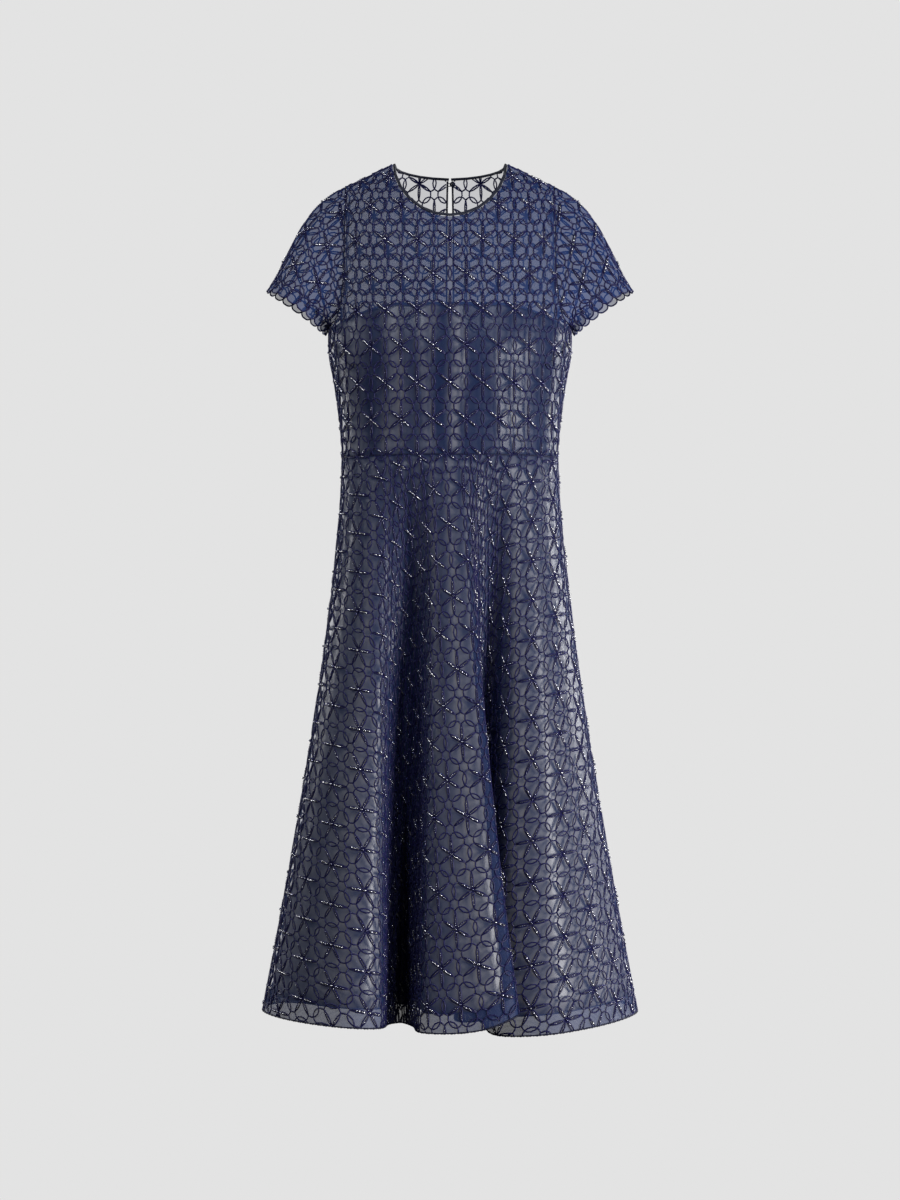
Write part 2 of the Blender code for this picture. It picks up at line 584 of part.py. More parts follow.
class Skirt:
    """The skirt's surface. A ring at a given fall (0 at the waist, 1 at the hem) is the waist's oval
    blended into the fluted hem, point by point at the same angle of the half-circle cut."""

    def __init__(self):
        corners = np.array([row[1:4] for row in FOLDS])
        hem = at_shares(through(corners), np.arange(FINE) / FINE)
        run = run_of(hem)
        anchors = [(row[1:3], row[4]) for row in FOLDS if row[4] is not None]
        places = [run[np.argmin(np.linalg.norm(hem[:, :2] - p, axis=1))] for p, _ in anchors]
        angles = [a for _, a in anchors]
        self.cut = np.interp(run[:-1], places + [run[-1]], angles + [CUT_ANGLE])
        turn = np.linspace(0, 360, 4001)[:-1]
        waist = torso(turn, np.full_like(turn, WAIST))
        self.waist = at_shares(waist, self.cut / CUT_ANGLE)[:, :2]
        self.hem, self.rise = hem[:, :2], softened(hem[:, 2], 0.012, run[-1])
        self.left_side = int(np.argmax(self.waist[:, 0]))
        self.right_side = int(np.argmin(self.waist[:, 0]))
        self.centre_back = int(np.argmin(np.abs(self.cut - CUT_ANGLE / 2)))

    def share(self, fall):
        return fall * (FLARE + (1 - FLARE) * fall)

    def ring(self, fall):
        share = self.share(fall)
        spread = WAIST_SOFTNESS + (HEM_SOFTNESS - WAIST_SOFTNESS) * share
        plan = (1 - share) * self.waist + share * softened(self.hem, spread)
        return np.column_stack([plan, WAIST - SKIRT_LENGTH * fall + self.rise * fall**3])

    def slip_ring(self, fall):
        """The ring moved inwards by the slip's ease, and by more where a flute's tip is tight.
        The normals are averaged along the ring first, so the slip's flutes are rounder and shorter."""
        share = self.share(fall)
        ring = self.ring(fall)
        facing = plan_normals(ring)
        spread = 0.004 + 0.014 * share
        step = run_of(ring)[-1] / len(ring)
        wide = max(1, int(spread / step))
        weights = np.exp(-0.5 * (np.arange(-3 * wide, 3 * wide + 1) / wide) ** 2)
        weights /= weights.sum()

        def averaged(values):
            return sum(w * np.roll(values, k - 3 * wide, axis=0) for k, w in enumerate(weights))

        mean = averaged(facing)
        size = np.linalg.norm(mean, axis=1, keepdims=True)
        bend = averaged(np.roll(facing, -3, 0) - np.roll(facing, 3, 0))
        ahead = np.column_stack([-facing[:, 1], facing[:, 0]])
        tip = np.clip((bend * ahead).sum(axis=1) / 0.02, 0, 1)[:, None]
        ease = SLIP_EASE_WAIST + (SLIP_EASE - SLIP_EASE_WAIST) * min(1, share / 0.12)
        ring[:, :2] -= (ease + SLIP_TIP_EASE * share * tip * (1 - size)) * mean / np.maximum(size, 0.3)
        if fall > 0:
            spread = SLIP_WAIST_SOFTNESS + (SLIP_SOFTNESS - SLIP_WAIST_SOFTNESS) * share
            ring[:, :2] = softened(ring[:, :2], spread)
        return ring

    def columns(self, hem, spacing, bend):
        """Column places: one for each spacing of hem, and one more for each bend, in degrees, that it
        turns."""
        run = run_of(hem)
        facing = plan_normals(hem)
        turned = np.abs(np.cross(facing, np.roll(facing, -1, 0)))
        weight = np.diff(run) / spacing + np.degrees(np.arcsin(np.clip(turned, 0, 1))) / bend
        total = np.concatenate([[0], np.cumsum(weight)])
        stops = [0, self.left_side, self.centre_back, self.right_side, FINE]
        chosen = []
        for first, last in zip(stops, stops[1:]):
            count = int(round(total[last] - total[first]))
            marks = np.linspace(total[first], total[last], count + 1)[:-1]
            chosen.extend(np.searchsorted(total, marks - 1e-9))
        return np.array(chosen)


def sliced(values, columns, first, last):
    """The columns from one seam to the next, going round past the start where they must."""
    if first < last:
        keep = columns[(columns >= first) & (columns <= last)]
    else:
        keep = np.concatenate([columns[columns >= first], columns[columns <= last]])
    return values[:, keep]


def make_skirts(skirt, outer_cloth, slip_cloth, band_cloth):
    outer = np.array([skirt.ring(f) for f in SKIRT_FALLS])
    slip = np.array([skirt.slip_ring(f) for f in SLIP_FALLS])
    outer_columns = skirt.columns(outer[0], spacing=0.028, bend=32)
    slip_columns = skirt.columns(slip[0], spacing=0.032, bend=50)
    places = (
        ("front", skirt.right_side, skirt.left_side),
        ("back_left", skirt.left_side, skirt.centre_back),
        ("back_right", skirt.centre_back, skirt.right_side),
    )
    for kind, rings, columns, cloth in (
        ("skirt_", outer, outer_columns, outer_cloth),
        ("slip_skirt_", slip, slip_columns, slip_cloth),
    ):
        normals = column_normals(rings, columns)
        for part, first, last in places:
            facing = sliced(normals, columns, first, last)
            wall(kind + part, parted(sliced(rings, columns, first, last)), facing, cloth)
    normals = column_normals(outer, outer_columns)
    for part, first, last in places:
        facing = sliced(normals, outer_columns, first, last)[:2]
        grid = parted(sliced(outer, outer_columns, first, last)[:2], ends=False)
        wall("hem_band_" + part, grid - (CLOTH + SEAM_GAP) * facing, facing, band_cloth)
    return outer_columns


def column_normals(rings, columns):
    """Normals of the faceted skirt at its columns, kept in an array as long as the fine rings."""
    normals = np.zeros_like(rings)
    normals[:, columns] = grid_normals(rings[:, columns], True)
    return normals


# ---------------------------------------------------------------- bindings, fastenings and zip


def line_frames(line, normals):
    """Directions across a line of points in the cloth, away from its panel, and outwards."""
    ahead = unit(np.gradient(line, axis=0))
    across = unit(np.cross(ahead, normals))
    return across, unit(np.cross(across, ahead))


def make_bindings(outer, finish):
    """The neck's binding sits on the panels' upper edges, and each slit binding on a back's centre edge."""
    (front, front_n), (back_left, left_n), (back_right, right_n) = outer
    neck, middle = NECK_STEPS, front.shape[1] // 2
    line = np.concatenate([
        back_left[-1, -neck - 1 :][::-1],
        front[-1, middle - neck : middle + neck + 1][::-1][1:],
        back_right[-1, : neck + 1][::-1][1:],
    ])
    normals = np.concatenate([
        left_n[-1, -neck - 1 :][::-1],
        front_n[-1, middle - neck : middle + neck + 1][::-1][1:],
        right_n[-1, : neck + 1][::-1][1:],
    ])
    reach = SLIT_BINDING_WIDTH + SEAM_GAP
    line[0] += reach * unit(line[0] - line[1])
    line[-1] += reach * unit(line[-1] - line[-2])
    across, out = line_frames(line, normals)
    seat = line + (SEAM_GAP + BINDING_WIDTH / 2) * across - CLOTH / 2 * out
    tube("neck_binding", seat, across, out, BINDING_WIDTH, BINDING_THICKNESS, finish)
    for name, grid, facing, edge in (
        ("slit_binding_left", back_left, left_n, -1),
        ("slit_binding_right", back_right, right_n, 0),
    ):
        rows = np.flatnonzero(grid[:, edge, 2] > SLIT_END + SLIT_START / 2)
        order = rows[::-1] if edge == 0 else rows
        line, normals = grid[order, edge].copy(), facing[order, edge]
        top, below = (0, 1) if edge == 0 else (-1, -2)
        line[top] += 2 * SEAM_GAP * unit(line[below] - line[top])
        across, out = line_frames(line, normals)
        seat = line + (SEAM_GAP + SLIT_BINDING_WIDTH / 2) * across - CLOTH / 2 * out
        tube(name, seat, across, out, SLIT_BINDING_WIDTH, SLIT_BINDING_THICKNESS, finish)


def back_frame(height, across=0.0):
    """A point of the back near its centre line, with the directions across, down and outwards there."""
    turn = 180 - math.degrees(math.asin(across / float(from_table(np.array(height), 1))))
    point = torso(turn, np.array(height))
    out = torso_normals(turn, np.array(height))
    right = np.array([1.0, 0, 0])
    out = unit(out - out[0] * right)
    return point, right, unit(np.cross(out, right)), out


def make_fastening(finish):
    """A shanked, domed button on the left of the slit, and a cord loop from the right that goes round it."""
    place = SLIT_HALF_TOP + SLIT_BINDING_WIDTH / 2
    point, right, down, out = back_frame(BUTTON_HEIGHT, place)
    seat = point + (SLIT_BINDING_THICKNESS / 2 - CLOTH / 2 + SEAM_GAP) * out
    profile = [(SHANK_RADIUS, 0), (SHANK_RADIUS, SHANK_LENGTH), (BUTTON_RADIUS, SHANK_LENGTH + 0.0003)]
    for a in (12, 38, 64):
        reach, rise = math.cos(math.radians(a)), math.sin(math.radians(a))
        profile.append((BUTTON_RADIUS * reach, SHANK_LENGTH + 0.0003 + BUTTON_DOME * rise))
    sides = 16
    turns = [(math.cos(2 * math.pi * k / sides), math.sin(2 * math.pi * k / sides)) for k in range(sides)]
    points = [seat + r * (c * right + s * down) + h * out for r, h in profile for c, s in turns]
    points += [seat, seat + (SHANK_LENGTH + 0.0003 + BUTTON_DOME) * out]
    faces = []
    for k in range(sides):
        after = (k + 1) % sides
        faces.append((len(points) - 2, after, k))
        top = (len(profile) - 1) * sides
        faces.append((len(points) - 1, top + k, top + after))
        for ring in range(0, top, sides):
            faces.append((ring + k, ring + after, ring + sides + after, ring + sides + k))
    add_mesh("nape_button", points, faces, finish)
    path = [(-2 * place - 0.0010, -1.0)]
    path += [(LOOP_RADIUS * math.sin(math.radians(a)), -math.cos(math.radians(a))) for a in range(0, 181, 30)]
    path.append((-2 * place - 0.0010, 1.0))
    line = np.array([seat + x * right + LOOP_RADIUS * y * down + LOOP_CORD * out for x, y in path])
    across, facing = line_frames(line, np.repeat(out[None], len(line), 0))
    tube("nape_loop", line, across, facing, 2 * LOOP_CORD, 2 * LOOP_CORD, finish)


def make_zip_tape(skirt, columns, finish):
    """A tape inside the centre back seam, from the slit's end down into the skirt."""
    across = np.linspace(-ZIP_WIDTH / 2, ZIP_WIDTH / 2, 5)
    ring_before, ring_after = SKIRT_FALLS[-2], SKIRT_FALLS[-3]
    share = (ZIP_END_FALL - ring_before) / (ring_after - ring_before)

    def skirt_row(fall):
        ring = skirt.ring(fall)[columns]
        near = ring[(np.abs(ring[:, 0]) < 0.05) & (ring[:, 1] > 0.05)]
        near = near[np.argsort(near[:, 0])]
        return np.column_stack([across, np.interp(across, near[:, 0], near[:, 1]), 0 * across + near[0, 2]])

    upper, lower = skirt_row(ring_before), skirt_row(ring_after)
    rows = [upper + share * (lower - upper), upper]
    heights = [WAIST + (SLIT_END - WAIST) * up for up in LOWER_ROWS] + [ZIP_TOP]
    for height in heights:
        half = from_table(np.array(height), 1)
        rows.append(torso(180 - np.degrees(np.arcsin(across / half)), np.full_like(across, height)))
    grid = np.array(rows)[:, ::-1]
    normals = grid_normals(grid, False)
    wall("zip_tape", grid - (CLOTH + 1.4 * SEAM_GAP) * normals, normals, finish)


def block(name, frame, low, high, finish=None):
    """A box between two corners given as (across, down, out) in a frame."""
    origin, right, down, out = frame
    corners = [
        origin + x * right + y * down + z * out
        for z in (low[2], high[2])
        for x, y in ((low[0], low[1]), (high[0], low[1]), (high[0], high[1]), (low[0], high[1]))
    ]
    faces = [(0, 1, 2, 3), (4, 7, 6, 5), (0, 4, 5, 1), (1, 5, 6, 2), (2, 6, 7, 3), (3, 7, 4, 0)]
    return add_mesh(name, corners, faces, finish)


def rod(name, origin, radius, length, sides, finish=None):
    """A round rod across the body, centred on a point."""
    points = []
    for x in (-length / 2, length / 2):
        for k in range(sides):
            a = 2 * math.pi * (k + 0.5) / sides
            points.append(origin + np.array([x, radius * math.cos(a), radius * math.sin(a)]))
    faces = [(k, k + sides, (k + 1) % sides + sides, (k + 1) % sides)[::-1] for k in range(sides)]
    faces += [tuple(reversed(range(sides))), tuple(range(sides, 2 * sides))]
    return add_mesh(name, points, faces, finish)


def combine(target, helper, operation):
    """Join a helper to a solid, or cut it away. The helper itself is not part of the dress."""
    step = target.modifiers.new(helper.name, "BOOLEAN")
    step.operation = operation
    step.solver = "EXACT"
    step.object = helper
    helper.hide_render = True
    helper.display_type = "WIRE"


def make_slider_and_pull(metal):
    """The slider is a plate with two legs and a bar. The pull turns on the bar by the eye in its barrel."""
    frame = back_frame(SLIDER_HEIGHT)
    point, right, down, out = frame
    half_length, half_width = SLIDER_LENGTH / 2, SLIDER_WIDTH / 2
    top = SEAM_GAP + SLIDER_THICKNESS
    corner = (-half_width, -half_length, SEAM_GAP)
    slider = block("zip_slider", frame, corner, (half_width, half_length, top), metal)
    inner, outer = LEG_GAP / 2, LEG_GAP / 2 + LEG_THICKNESS
    for name, low, high in (("slider_leg_right", -outer, -inner), ("slider_leg_left", inner, outer)):
        corner = (low, -LEG_WIDTH / 2, top - 0.0006)
        leg = block(name, frame, corner, (high, LEG_WIDTH / 2, BAR_HEIGHT + BAR_RADIUS + 0.0003))
        combine(slider, leg, "UNION")
    axis = point + BAR_HEIGHT * out
    combine(slider, rod("slider_bar", axis, BAR_RADIUS, LEG_GAP + LEG_THICKNESS, 12), "UNION")

    zero = np.zeros(3)
    pull = rod("zip_pull", zero, BARREL_RADIUS, BARREL_LENGTH, 20, metal)
    half, neck = PULL_WIDTH / 2, BARREL_LENGTH / 2
    outline = [(-neck, -0.0013), (-neck, -PULL_NECK), (-half, -PULL_NECK - 0.0012)]
    for a in range(180, 361, 30):
        x, z = half * math.cos(math.radians(a)), half * math.sin(math.radians(a))
        outline.append((x, -PULL_LENGTH + half + z))
    outline += [(half, -PULL_NECK - 0.0012), (neck, -PULL_NECK), (neck, -0.0013)]
    count = len(outline)
    points = [(x, y, z) for y in (-PULL_THICKNESS / 2, PULL_THICKNESS / 2) for x, z in outline]
    faces = [tuple(range(count)), tuple(reversed(range(count, 2 * count)))]
    faces += [(k, k + count, (k + 1) % count + count, (k + 1) % count) for k in range(count)]
    tab = add_mesh("pull_tab", points, faces, metal)
    hole = rod("pull_eye", zero, EYE_RADIUS, 2 * BARREL_LENGTH, 16)
    combine(pull, tab, "UNION")
    combine(pull, hole, "DIFFERENCE")
    for piece in (pull, tab, hole):
        piece.location = tuple(axis)
    return axis


def main():
    clear_scene()
    outer_cloth = material("embroidered_tulle", NAVY, 0.55)
    slip_cloth = material("slip_satin", SLIP_GREY, 0.42)
    binding_cloth = material("binding", DARK_NAVY, 0.6)
    band_cloth = material("hem_band", NAVY, 0.5)
    metal = material("zip_metal", GUNMETAL, 0.35, metallic=1.0)
    outer = make_bodice(outer_cloth, slip_cloth)
    make_yoke_lining(material("plain_net", DEEP_NAVY, 0.8))
    skirt = Skirt()
    columns = make_skirts(skirt, outer_cloth, slip_cloth, band_cloth)
    make_bindings(outer, binding_cloth)
    make_fastening(binding_cloth)
    make_zip_tape(skirt, columns, binding_cloth)
    make_slider_and_pull(metal)


main()
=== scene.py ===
"""A round-necked cocktail dress: corded and beaded navy tulle over a strapless satin slip.

Metres, +Z up, front towards -Y, the wearer's left towards +X, origin between the two neck points.
A grid's rows run upwards and its columns anticlockwise seen from above, so its faces point outwards.
"""

import math

import bpy
import numpy as np
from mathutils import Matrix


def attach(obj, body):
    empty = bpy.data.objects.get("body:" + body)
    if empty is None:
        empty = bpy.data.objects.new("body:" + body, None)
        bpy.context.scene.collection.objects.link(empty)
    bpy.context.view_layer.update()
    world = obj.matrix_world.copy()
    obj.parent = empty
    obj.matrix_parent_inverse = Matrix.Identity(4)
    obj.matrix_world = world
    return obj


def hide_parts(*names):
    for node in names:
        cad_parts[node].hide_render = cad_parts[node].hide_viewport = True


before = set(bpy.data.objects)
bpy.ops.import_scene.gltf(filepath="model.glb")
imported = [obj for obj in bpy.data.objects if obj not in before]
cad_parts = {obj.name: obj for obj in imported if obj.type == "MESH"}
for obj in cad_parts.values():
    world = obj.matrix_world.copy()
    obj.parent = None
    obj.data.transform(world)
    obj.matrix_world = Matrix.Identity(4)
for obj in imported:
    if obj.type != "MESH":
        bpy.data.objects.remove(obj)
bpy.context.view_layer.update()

# ---------------------------------------------------------------- studio
# A level camera at the height of the hips, and a pale floor that runs on into a pale surround. A large soft
# light at the wearer's left models the folds and a weak one at the right fills them, two small ones near
# the front make the beads flash, and two behind light the edges.

PALE = (0.768, 0.768, 0.768)
AMBIENT = (0.035, 0.035, 0.035)
EYE = (0.0, -3.5, -0.609)
WHITE = (1.0, 1.0, 1.0)
COOL = (0.88, 0.93, 1.0)
# angle from the front towards the wearer's left, height, distance, height aimed at, size, watts, colour
LIGHTS = {
    "key": (52, -0.75, 3.0, -0.75, 1.2, 60, WHITE),
    "front_left": (20, 0.45, 1.6, -0.2, 0.2, 3.0, COOL),
    "front_right": (-28, 0.45, 1.6, -0.2, 0.2, 3.6, COOL),
    "far_side": (-86, 0.8, 3.0, -0.2, 1.0, 18, (0.9, 0.95, 1.0)),
    "back_left": (126, -0.1, 3.0, -0.65, 1.2, 42, WHITE),
    "back_right": (-132, -0.1, 3.0, -0.65, 1.2, 16, WHITE),
}

scene = bpy.context.scene
scene.view_settings.view_transform = "Standard"
lens = bpy.data.cameras.new("camera")
lens.lens = 75
lens.sensor_width = 36
camera = bpy.data.objects.new("camera", lens)
camera.location = EYE
camera.rotation_euler = (math.radians(90), 0, 0)
scene.collection.objects.link(camera)
scene.camera = camera

for name, (angle, height, distance, aim, size, power, colour) in LIGHTS.items():
    light = bpy.data.lights.new(name, "AREA")
    light.size = size
    light.energy = power
    light.color = colour
    lamp = bpy.data.objects.new(name, light)
    turn = math.radians(angle)
    lamp.location = (distance * math.sin(turn), -distance * math.cos(turn), height)
    lamp.rotation_euler = (math.atan2(distance, height - aim), 0, turn)
    lamp.visible_camera = False
    scene.collection.objects.link(lamp)


def add_node(owner, kind, inputs=(), **settings):
    """A node of a finish or a world, with these settings, and its inputs linked or set to values."""
    tree = owner.node_tree
    node = tree.nodes.new("ShaderNode" + kind)
    for setting, value in settings.items():
        setattr(node, setting, value)
    for socket, value in dict(inputs).items():
        if isinstance(value, bpy.types.NodeSocket):
            tree.links.new(value, node.inputs[socket])
        else:
            node.inputs[socket].default_value = value
    return node


def shade(owner, factor, dark, light):
    """A colour that goes from dark to light with a factor."""
    colours = {0: factor, 6: (*dark, 1), 7: (*light, 1)}
    return add_node(owner, "Mix", colours, data_type="RGBA").outputs[2]


world = bpy.data.worlds.new("surround")
scene.world = world
world.use_nodes = True
seen = add_node(world, "LightPath").outputs["Is Camera Ray"]
background = world.node_tree.nodes["Background"]
world.node_tree.links.new(shade(world, seen, AMBIENT, PALE), background.inputs["Color"])


def ray(degrees):
    """The unit vector at an angle in a plane."""
    turn = np.radians(degrees)
    return np.stack([np.cos(turn), np.sin(turn)], axis=-1)


def add_mesh(name, points, faces, finish, uv=None, tone=None):
    """A smooth mesh from arrays: points (n, 3), faces (m, 3 or 4), and for each point a UV and a tone, which
    is how pale its finish is painted there, 0 to 1: painted shade and painted highlight on the satin, and
    painted glints on the beads."""
    mesh = bpy.data.meshes.new(name)
    mesh.vertices.add(len(points))
    mesh.vertices.foreach_set("co", np.ascontiguousarray(points, np.float32).ravel())
    mesh.loops.add(faces.size)
    mesh.loops.foreach_set("vertex_index", np.ascontiguousarray(faces, np.int32).ravel())
    mesh.polygons.add(len(faces))
    mesh.polygons.foreach_set("loop_start", np.arange(0, faces.size, faces.shape[1], dtype=np.int32))
    mesh.polygons.foreach_set("use_smooth", np.ones(len(faces), bool))
    mesh.update(calc_edges=True)
    if uv is not None:
        layer = mesh.uv_layers.new(name="cloth")
        layer.data.foreach_set("uv", np.ascontiguousarray(uv[faces.ravel()], np.float32).ravel())
    if tone is not None:
        layer = mesh.attributes.new("tone", "FLOAT", "POINT")
        layer.data.foreach_set("value", np.ascontiguousarray(tone, np.float32))
    mesh.materials.append(finish)
    piece = bpy.data.objects.new(name, mesh)
    scene.collection.objects.link(piece)
    return piece


def plain_finish(name, colour, roughness, **sockets):
    """A Principled material with these socket values."""
    finish = bpy.data.materials.new(name)
    finish.use_nodes = True
    shader = finish.node_tree.nodes["Principled BSDF"]
    for socket, value in dict(sockets, Base_Color=(*colour, 1), Roughness=roughness).items():
        shader.inputs[socket.replace("_", " ")].default_value = value
    return finish


FLOOR = -1.62
FLOOR_RADIUS = 9.0
FLOOR_SIDES = 64

floor_finish = plain_finish(
    "pale_floor", (0, 0, 0), 1.0, Emission_Strength=1.0, Emission_Color=(*PALE, 1), Specular_IOR_Level=0
)
around = np.arange(FLOOR_SIDES)
rim = np.column_stack([FLOOR_RADIUS * ray(360 * around / FLOOR_SIDES), np.full(FLOOR_SIDES, FLOOR)])
wedges = np.column_stack([around, np.roll(around, -1), np.full(FLOOR_SIDES, FLOOR_SIDES)])
floor = add_mesh("floor", np.vstack([rim, [0, 0, FLOOR]]), wedges, floor_finish)
floor.visible_diffuse = floor.visible_glossy = False

# ---------------------------------------------------------------- bodice
# Front and two backs in sheer tulle, cut to a round neck, with a bust dart at each side. The front's yoke,
# above the slip, is lined with a second, closer net.

WAIST = -0.410
UNDERARM = -0.226
SHOULDER_TIP = -0.031
NECK_FRONT = -0.084
NECK_BACK = -0.011
SLIT_END = -0.216
SLIT_START = 0.012  # height over which the slit opens
SLIT_HALF = 0.0034
SLIT_HALF_TOP = 0.0021
SLIT_NARROWS = -0.075  # height from which the slit narrows, over 64 mm
SLIT_NARROWING = 0.064
SLIT_BINDING = 0.0033
NECK_HALF = 0.0805
SHOULDER_HALF = 0.146
UNDERARM_HALF = 0.1663
SHOULDER_ROUND = 0.075
ARMHOLE_BEND = 60
NECK_STEPS = 24
SHOULDER_STEPS = 12
INNER = NECK_STEPS + SHOULDER_STEPS
UNDERARM_STEPS = 16
BODICE_ROWS = 30
YOKE_ROWS = 48
SLIP_TOP = -0.204
SLIP_TOP_SIDE = -0.231
YOKE_FADE = 0.004  # reach of the yoke's second net below the slip's edge
YOKE_EASE = 0.0016  # of that net inside the torso
YOKE_NET_ROWS = 40
ROW_CROWDING = 1.6  # power that draws the rows together towards the shoulder
CLOTH = 0.001  # wall of the solids that the cloth stands on
A_DEGREE = 0.0028  # metres round the bodice in a degree, for its creases
SIDES = (("left", 1), ("right", -1))
MIRROR = np.array([-1, 1, 1])

# height, half width, depth to the front, depth to the back, squareness (1 is an ellipse, less is boxier)
TORSO = np.array([
    (-0.410, 0.151, 0.093, 0.086, 1.00),
    (-0.360, 0.1545, 0.098, 0.083, 1.00),
    (-0.310, 0.1615, 0.110, 0.084, 0.96),
    (-0.265, 0.169, 0.119, 0.088, 0.92),
    (-0.226, 0.1695, 0.115, 0.091, 0.86),
    (-0.150, 0.161, 0.096, 0.096, 0.78),
    (-0.080, 0.156, 0.079, 0.092, 0.78),
    (-0.030, 0.152, 0.066, 0.078, 0.80),
    (0.000, 0.150, 0.060, 0.070, 0.80),
])
# Soft ridges and troughs of the worn bodice: from turn, height to turn, height, half width, rise. Each is
# made on both sides, less high on the wearer's right.
BODICE_CREASES = (
    (80, -0.246, 52, -0.288, 0.0065, -0.0014),
    (78, -0.396, 58, -0.336, 0.0070, -0.0013),
    (40, -0.402, 30, -0.345, 0.0080, -0.0011),
    (64, -0.128, 47, -0.188, 0.0070, 0.0012),
    (112, -0.250, 138, -0.292, 0.0070, -0.0014),
    (106, -0.398, 132, -0.342, 0.0080, -0.0013),
    (122, -0.110, 146, -0.172, 0.0075, 0.0013),
    (152, -0.396, 158, -0.330, 0.0080, -0.0012),
)
RIGHT_CREASES = 0.7  # of the height on the left


def unit(vectors):
    return vectors / np.maximum(np.linalg.norm(vectors, axis=-1, keepdims=True), 1e-12)


def between(first, last, share):
    return first + (last - first) * share


def mirrored(half, sign=1):
    """A half panel's columns with their mirror image before them."""
    return np.concatenate([sign * half[:, :0:-1], half], axis=1)


def so_far(points, axis):
    """Distance along each row (axis 1) or column (axis 0) of a grid to each of its points."""
    steps = np.linalg.norm(np.diff(points, axis=axis), axis=-1)
    return np.insert(np.cumsum(steps, axis=axis), 0, 0, axis=axis)


def read_off(wanted, at, values):
    """Values of a grid's columns at wanted places, on straight lines between the places that they have."""
    columns = zip(wanted.T, at.T, values.transpose(1, 2, 0))
    return np.array([[np.interp(w, a, v) for v in column] for w, a, column in columns]).transpose(2, 0, 1)


def cubic(t, first, last, first_slope, last_slope):
    """A cubic at t, from 0 to 1: from first to last, with these slopes at its ends."""
    return (
        first * (1 + 2 * t) * (1 - t) ** 2
        + last * t**2 * (3 - 2 * t)
        + first_slope * t * (1 - t) ** 2
        + last_slope * t**2 * (t - 1)
    )


def from_table(heights, column):
    """A smooth curve through one column of TORSO: cubic between rows, with the slope of its neighbours."""
    at, value = TORSO[:, 0], TORSO[:, column]
    slope = np.gradient(value, at)
    heights = np.clip(heights, at[0], at[-1])
    low = np.clip(np.searchsorted(at, heights, side="right") - 1, 0, len(at) - 2)
    step = at[low + 1] - at[low]
    t = (heights - at[low]) / step
    return cubic(t, value[low], value[low + 1], step * slope[low], step * slope[low + 1])


def shoulder_height(across):
    return (np.abs(across) - NECK_HALF) * SHOULDER_TIP / (SHOULDER_HALF - NECK_HALF)


def torso(turn, heights, ease=0.0):
    """Points of the torso: turn is 0 at the front, 90 at the wearer's left. Half width times the sine, and
    depth times a power of the cosine, rounded off towards the shoulder seam."""
    sine, cosine = np.sin(np.radians(turn)), np.cos(np.radians(turn))
    across = (from_table(heights, 1) - ease) * sine
    depth = np.where(cosine > 0, from_table(heights, 2), from_table(heights, 3)) - ease
    below = np.clip((shoulder_height(across) - heights) / SHOULDER_ROUND, 0, 1)
    rounding = np.sqrt(np.clip(1 - (1 - below) ** 2, 0, 1))
    deep = np.sign(cosine) * np.abs(cosine) ** from_table(heights, 4)
    return np.stack([across, -depth * deep * rounding, heights + 0 * across], axis=-1)


def bodice_surface(turn, heights, ease=CLOTH / 2):
    """The torso with the bodice's creases: each raises or lowers it along its normal by its rise times a
    bell of the distance to the crease's line."""
    points = torso(turn, heights, ease)
    beside, above = torso(turn + 0.2, heights, ease), torso(turn, heights + 0.0005, ease)
    normals = unit(np.cross(beside - points, above - points))
    turn = turn % 360
    left = turn <= 180
    place = np.stack([A_DEGREE * np.where(left, turn, 360 - turn), heights + 0 * turn], axis=-1)
    for turn_from, from_height, turn_to, to_height, width, rise in BODICE_CREASES:
        start = np.array([A_DEGREE * turn_from, from_height])
        line = np.array([A_DEGREE * turn_to, to_height]) - start
        along = np.clip((place - start) @ line / (line @ line), 0, 1)
        away = np.linalg.norm(place - start - along[..., None] * line, axis=-1)
        rise = rise * np.where(left, 1, RIGHT_CREASES) * np.exp(-((away / width) ** 2))
        points = points + rise[..., None] * normals
    return points


def armhole(angle):
    """(across, height) of the armhole's edge, from 0 degrees at the shoulder tip to 90 at the underarm:
    across by the square of one minus the cosine, and height by the sine."""
    a = np.radians(angle)
    across = between(SHOULDER_HALF, UNDERARM_HALF, (1 - np.cos(a)) ** 2)
    return across, between(SHOULDER_TIP, UNDERARM, np.sin(a))


def armhole_edge(heights):
    """How far across the armhole's edge is at a height."""
    sine = np.clip((heights - SHOULDER_TIP) / (UNDERARM - SHOULDER_TIP), 0, 1)
    return armhole(np.degrees(np.arcsin(sine)))[0]


def turn_at(across, heights):
    return np.degrees(np.arcsin(np.clip(across / from_table(heights, 1), 0, 1)))


def armhole_level():
    """Turns and heights of the row at the armhole's level, from the centre to the side seam."""
    across, bend = armhole(ARMHOLE_BEND)
    steps = np.linspace(0, 1, INNER + 1)
    under_across, low = armhole(np.linspace(ARMHOLE_BEND, 90, UNDERARM_STEPS + 1)[1:])
    under = turn_at(under_across, low)
    under[-1] = 90
    turns = np.concatenate([turn_at(across, bend) * steps, under])
    return turns, np.concatenate([between(SLIT_END, bend, steps), low])


def lower_rows(level, up):
    """Straight columns from the waist, where they are evenly spaced, to a level."""
    turns, heights = level
    return between(np.linspace(0, 90, len(turns)), turns, up), between(WAIST, heights, up)


def slit_edge(heights):
    """Distance of the back's edge from the centre line: bound slit above, closed seam below."""
    open_share = np.clip((heights - SLIT_END) / SLIT_START, 0, 1)
    narrow = np.clip((heights - SLIT_NARROWS) / SLIT_NARROWING, 0, 1)
    return open_share * (between(SLIT_HALF, SLIT_HALF_TOP, narrow) + SLIT_BINDING)


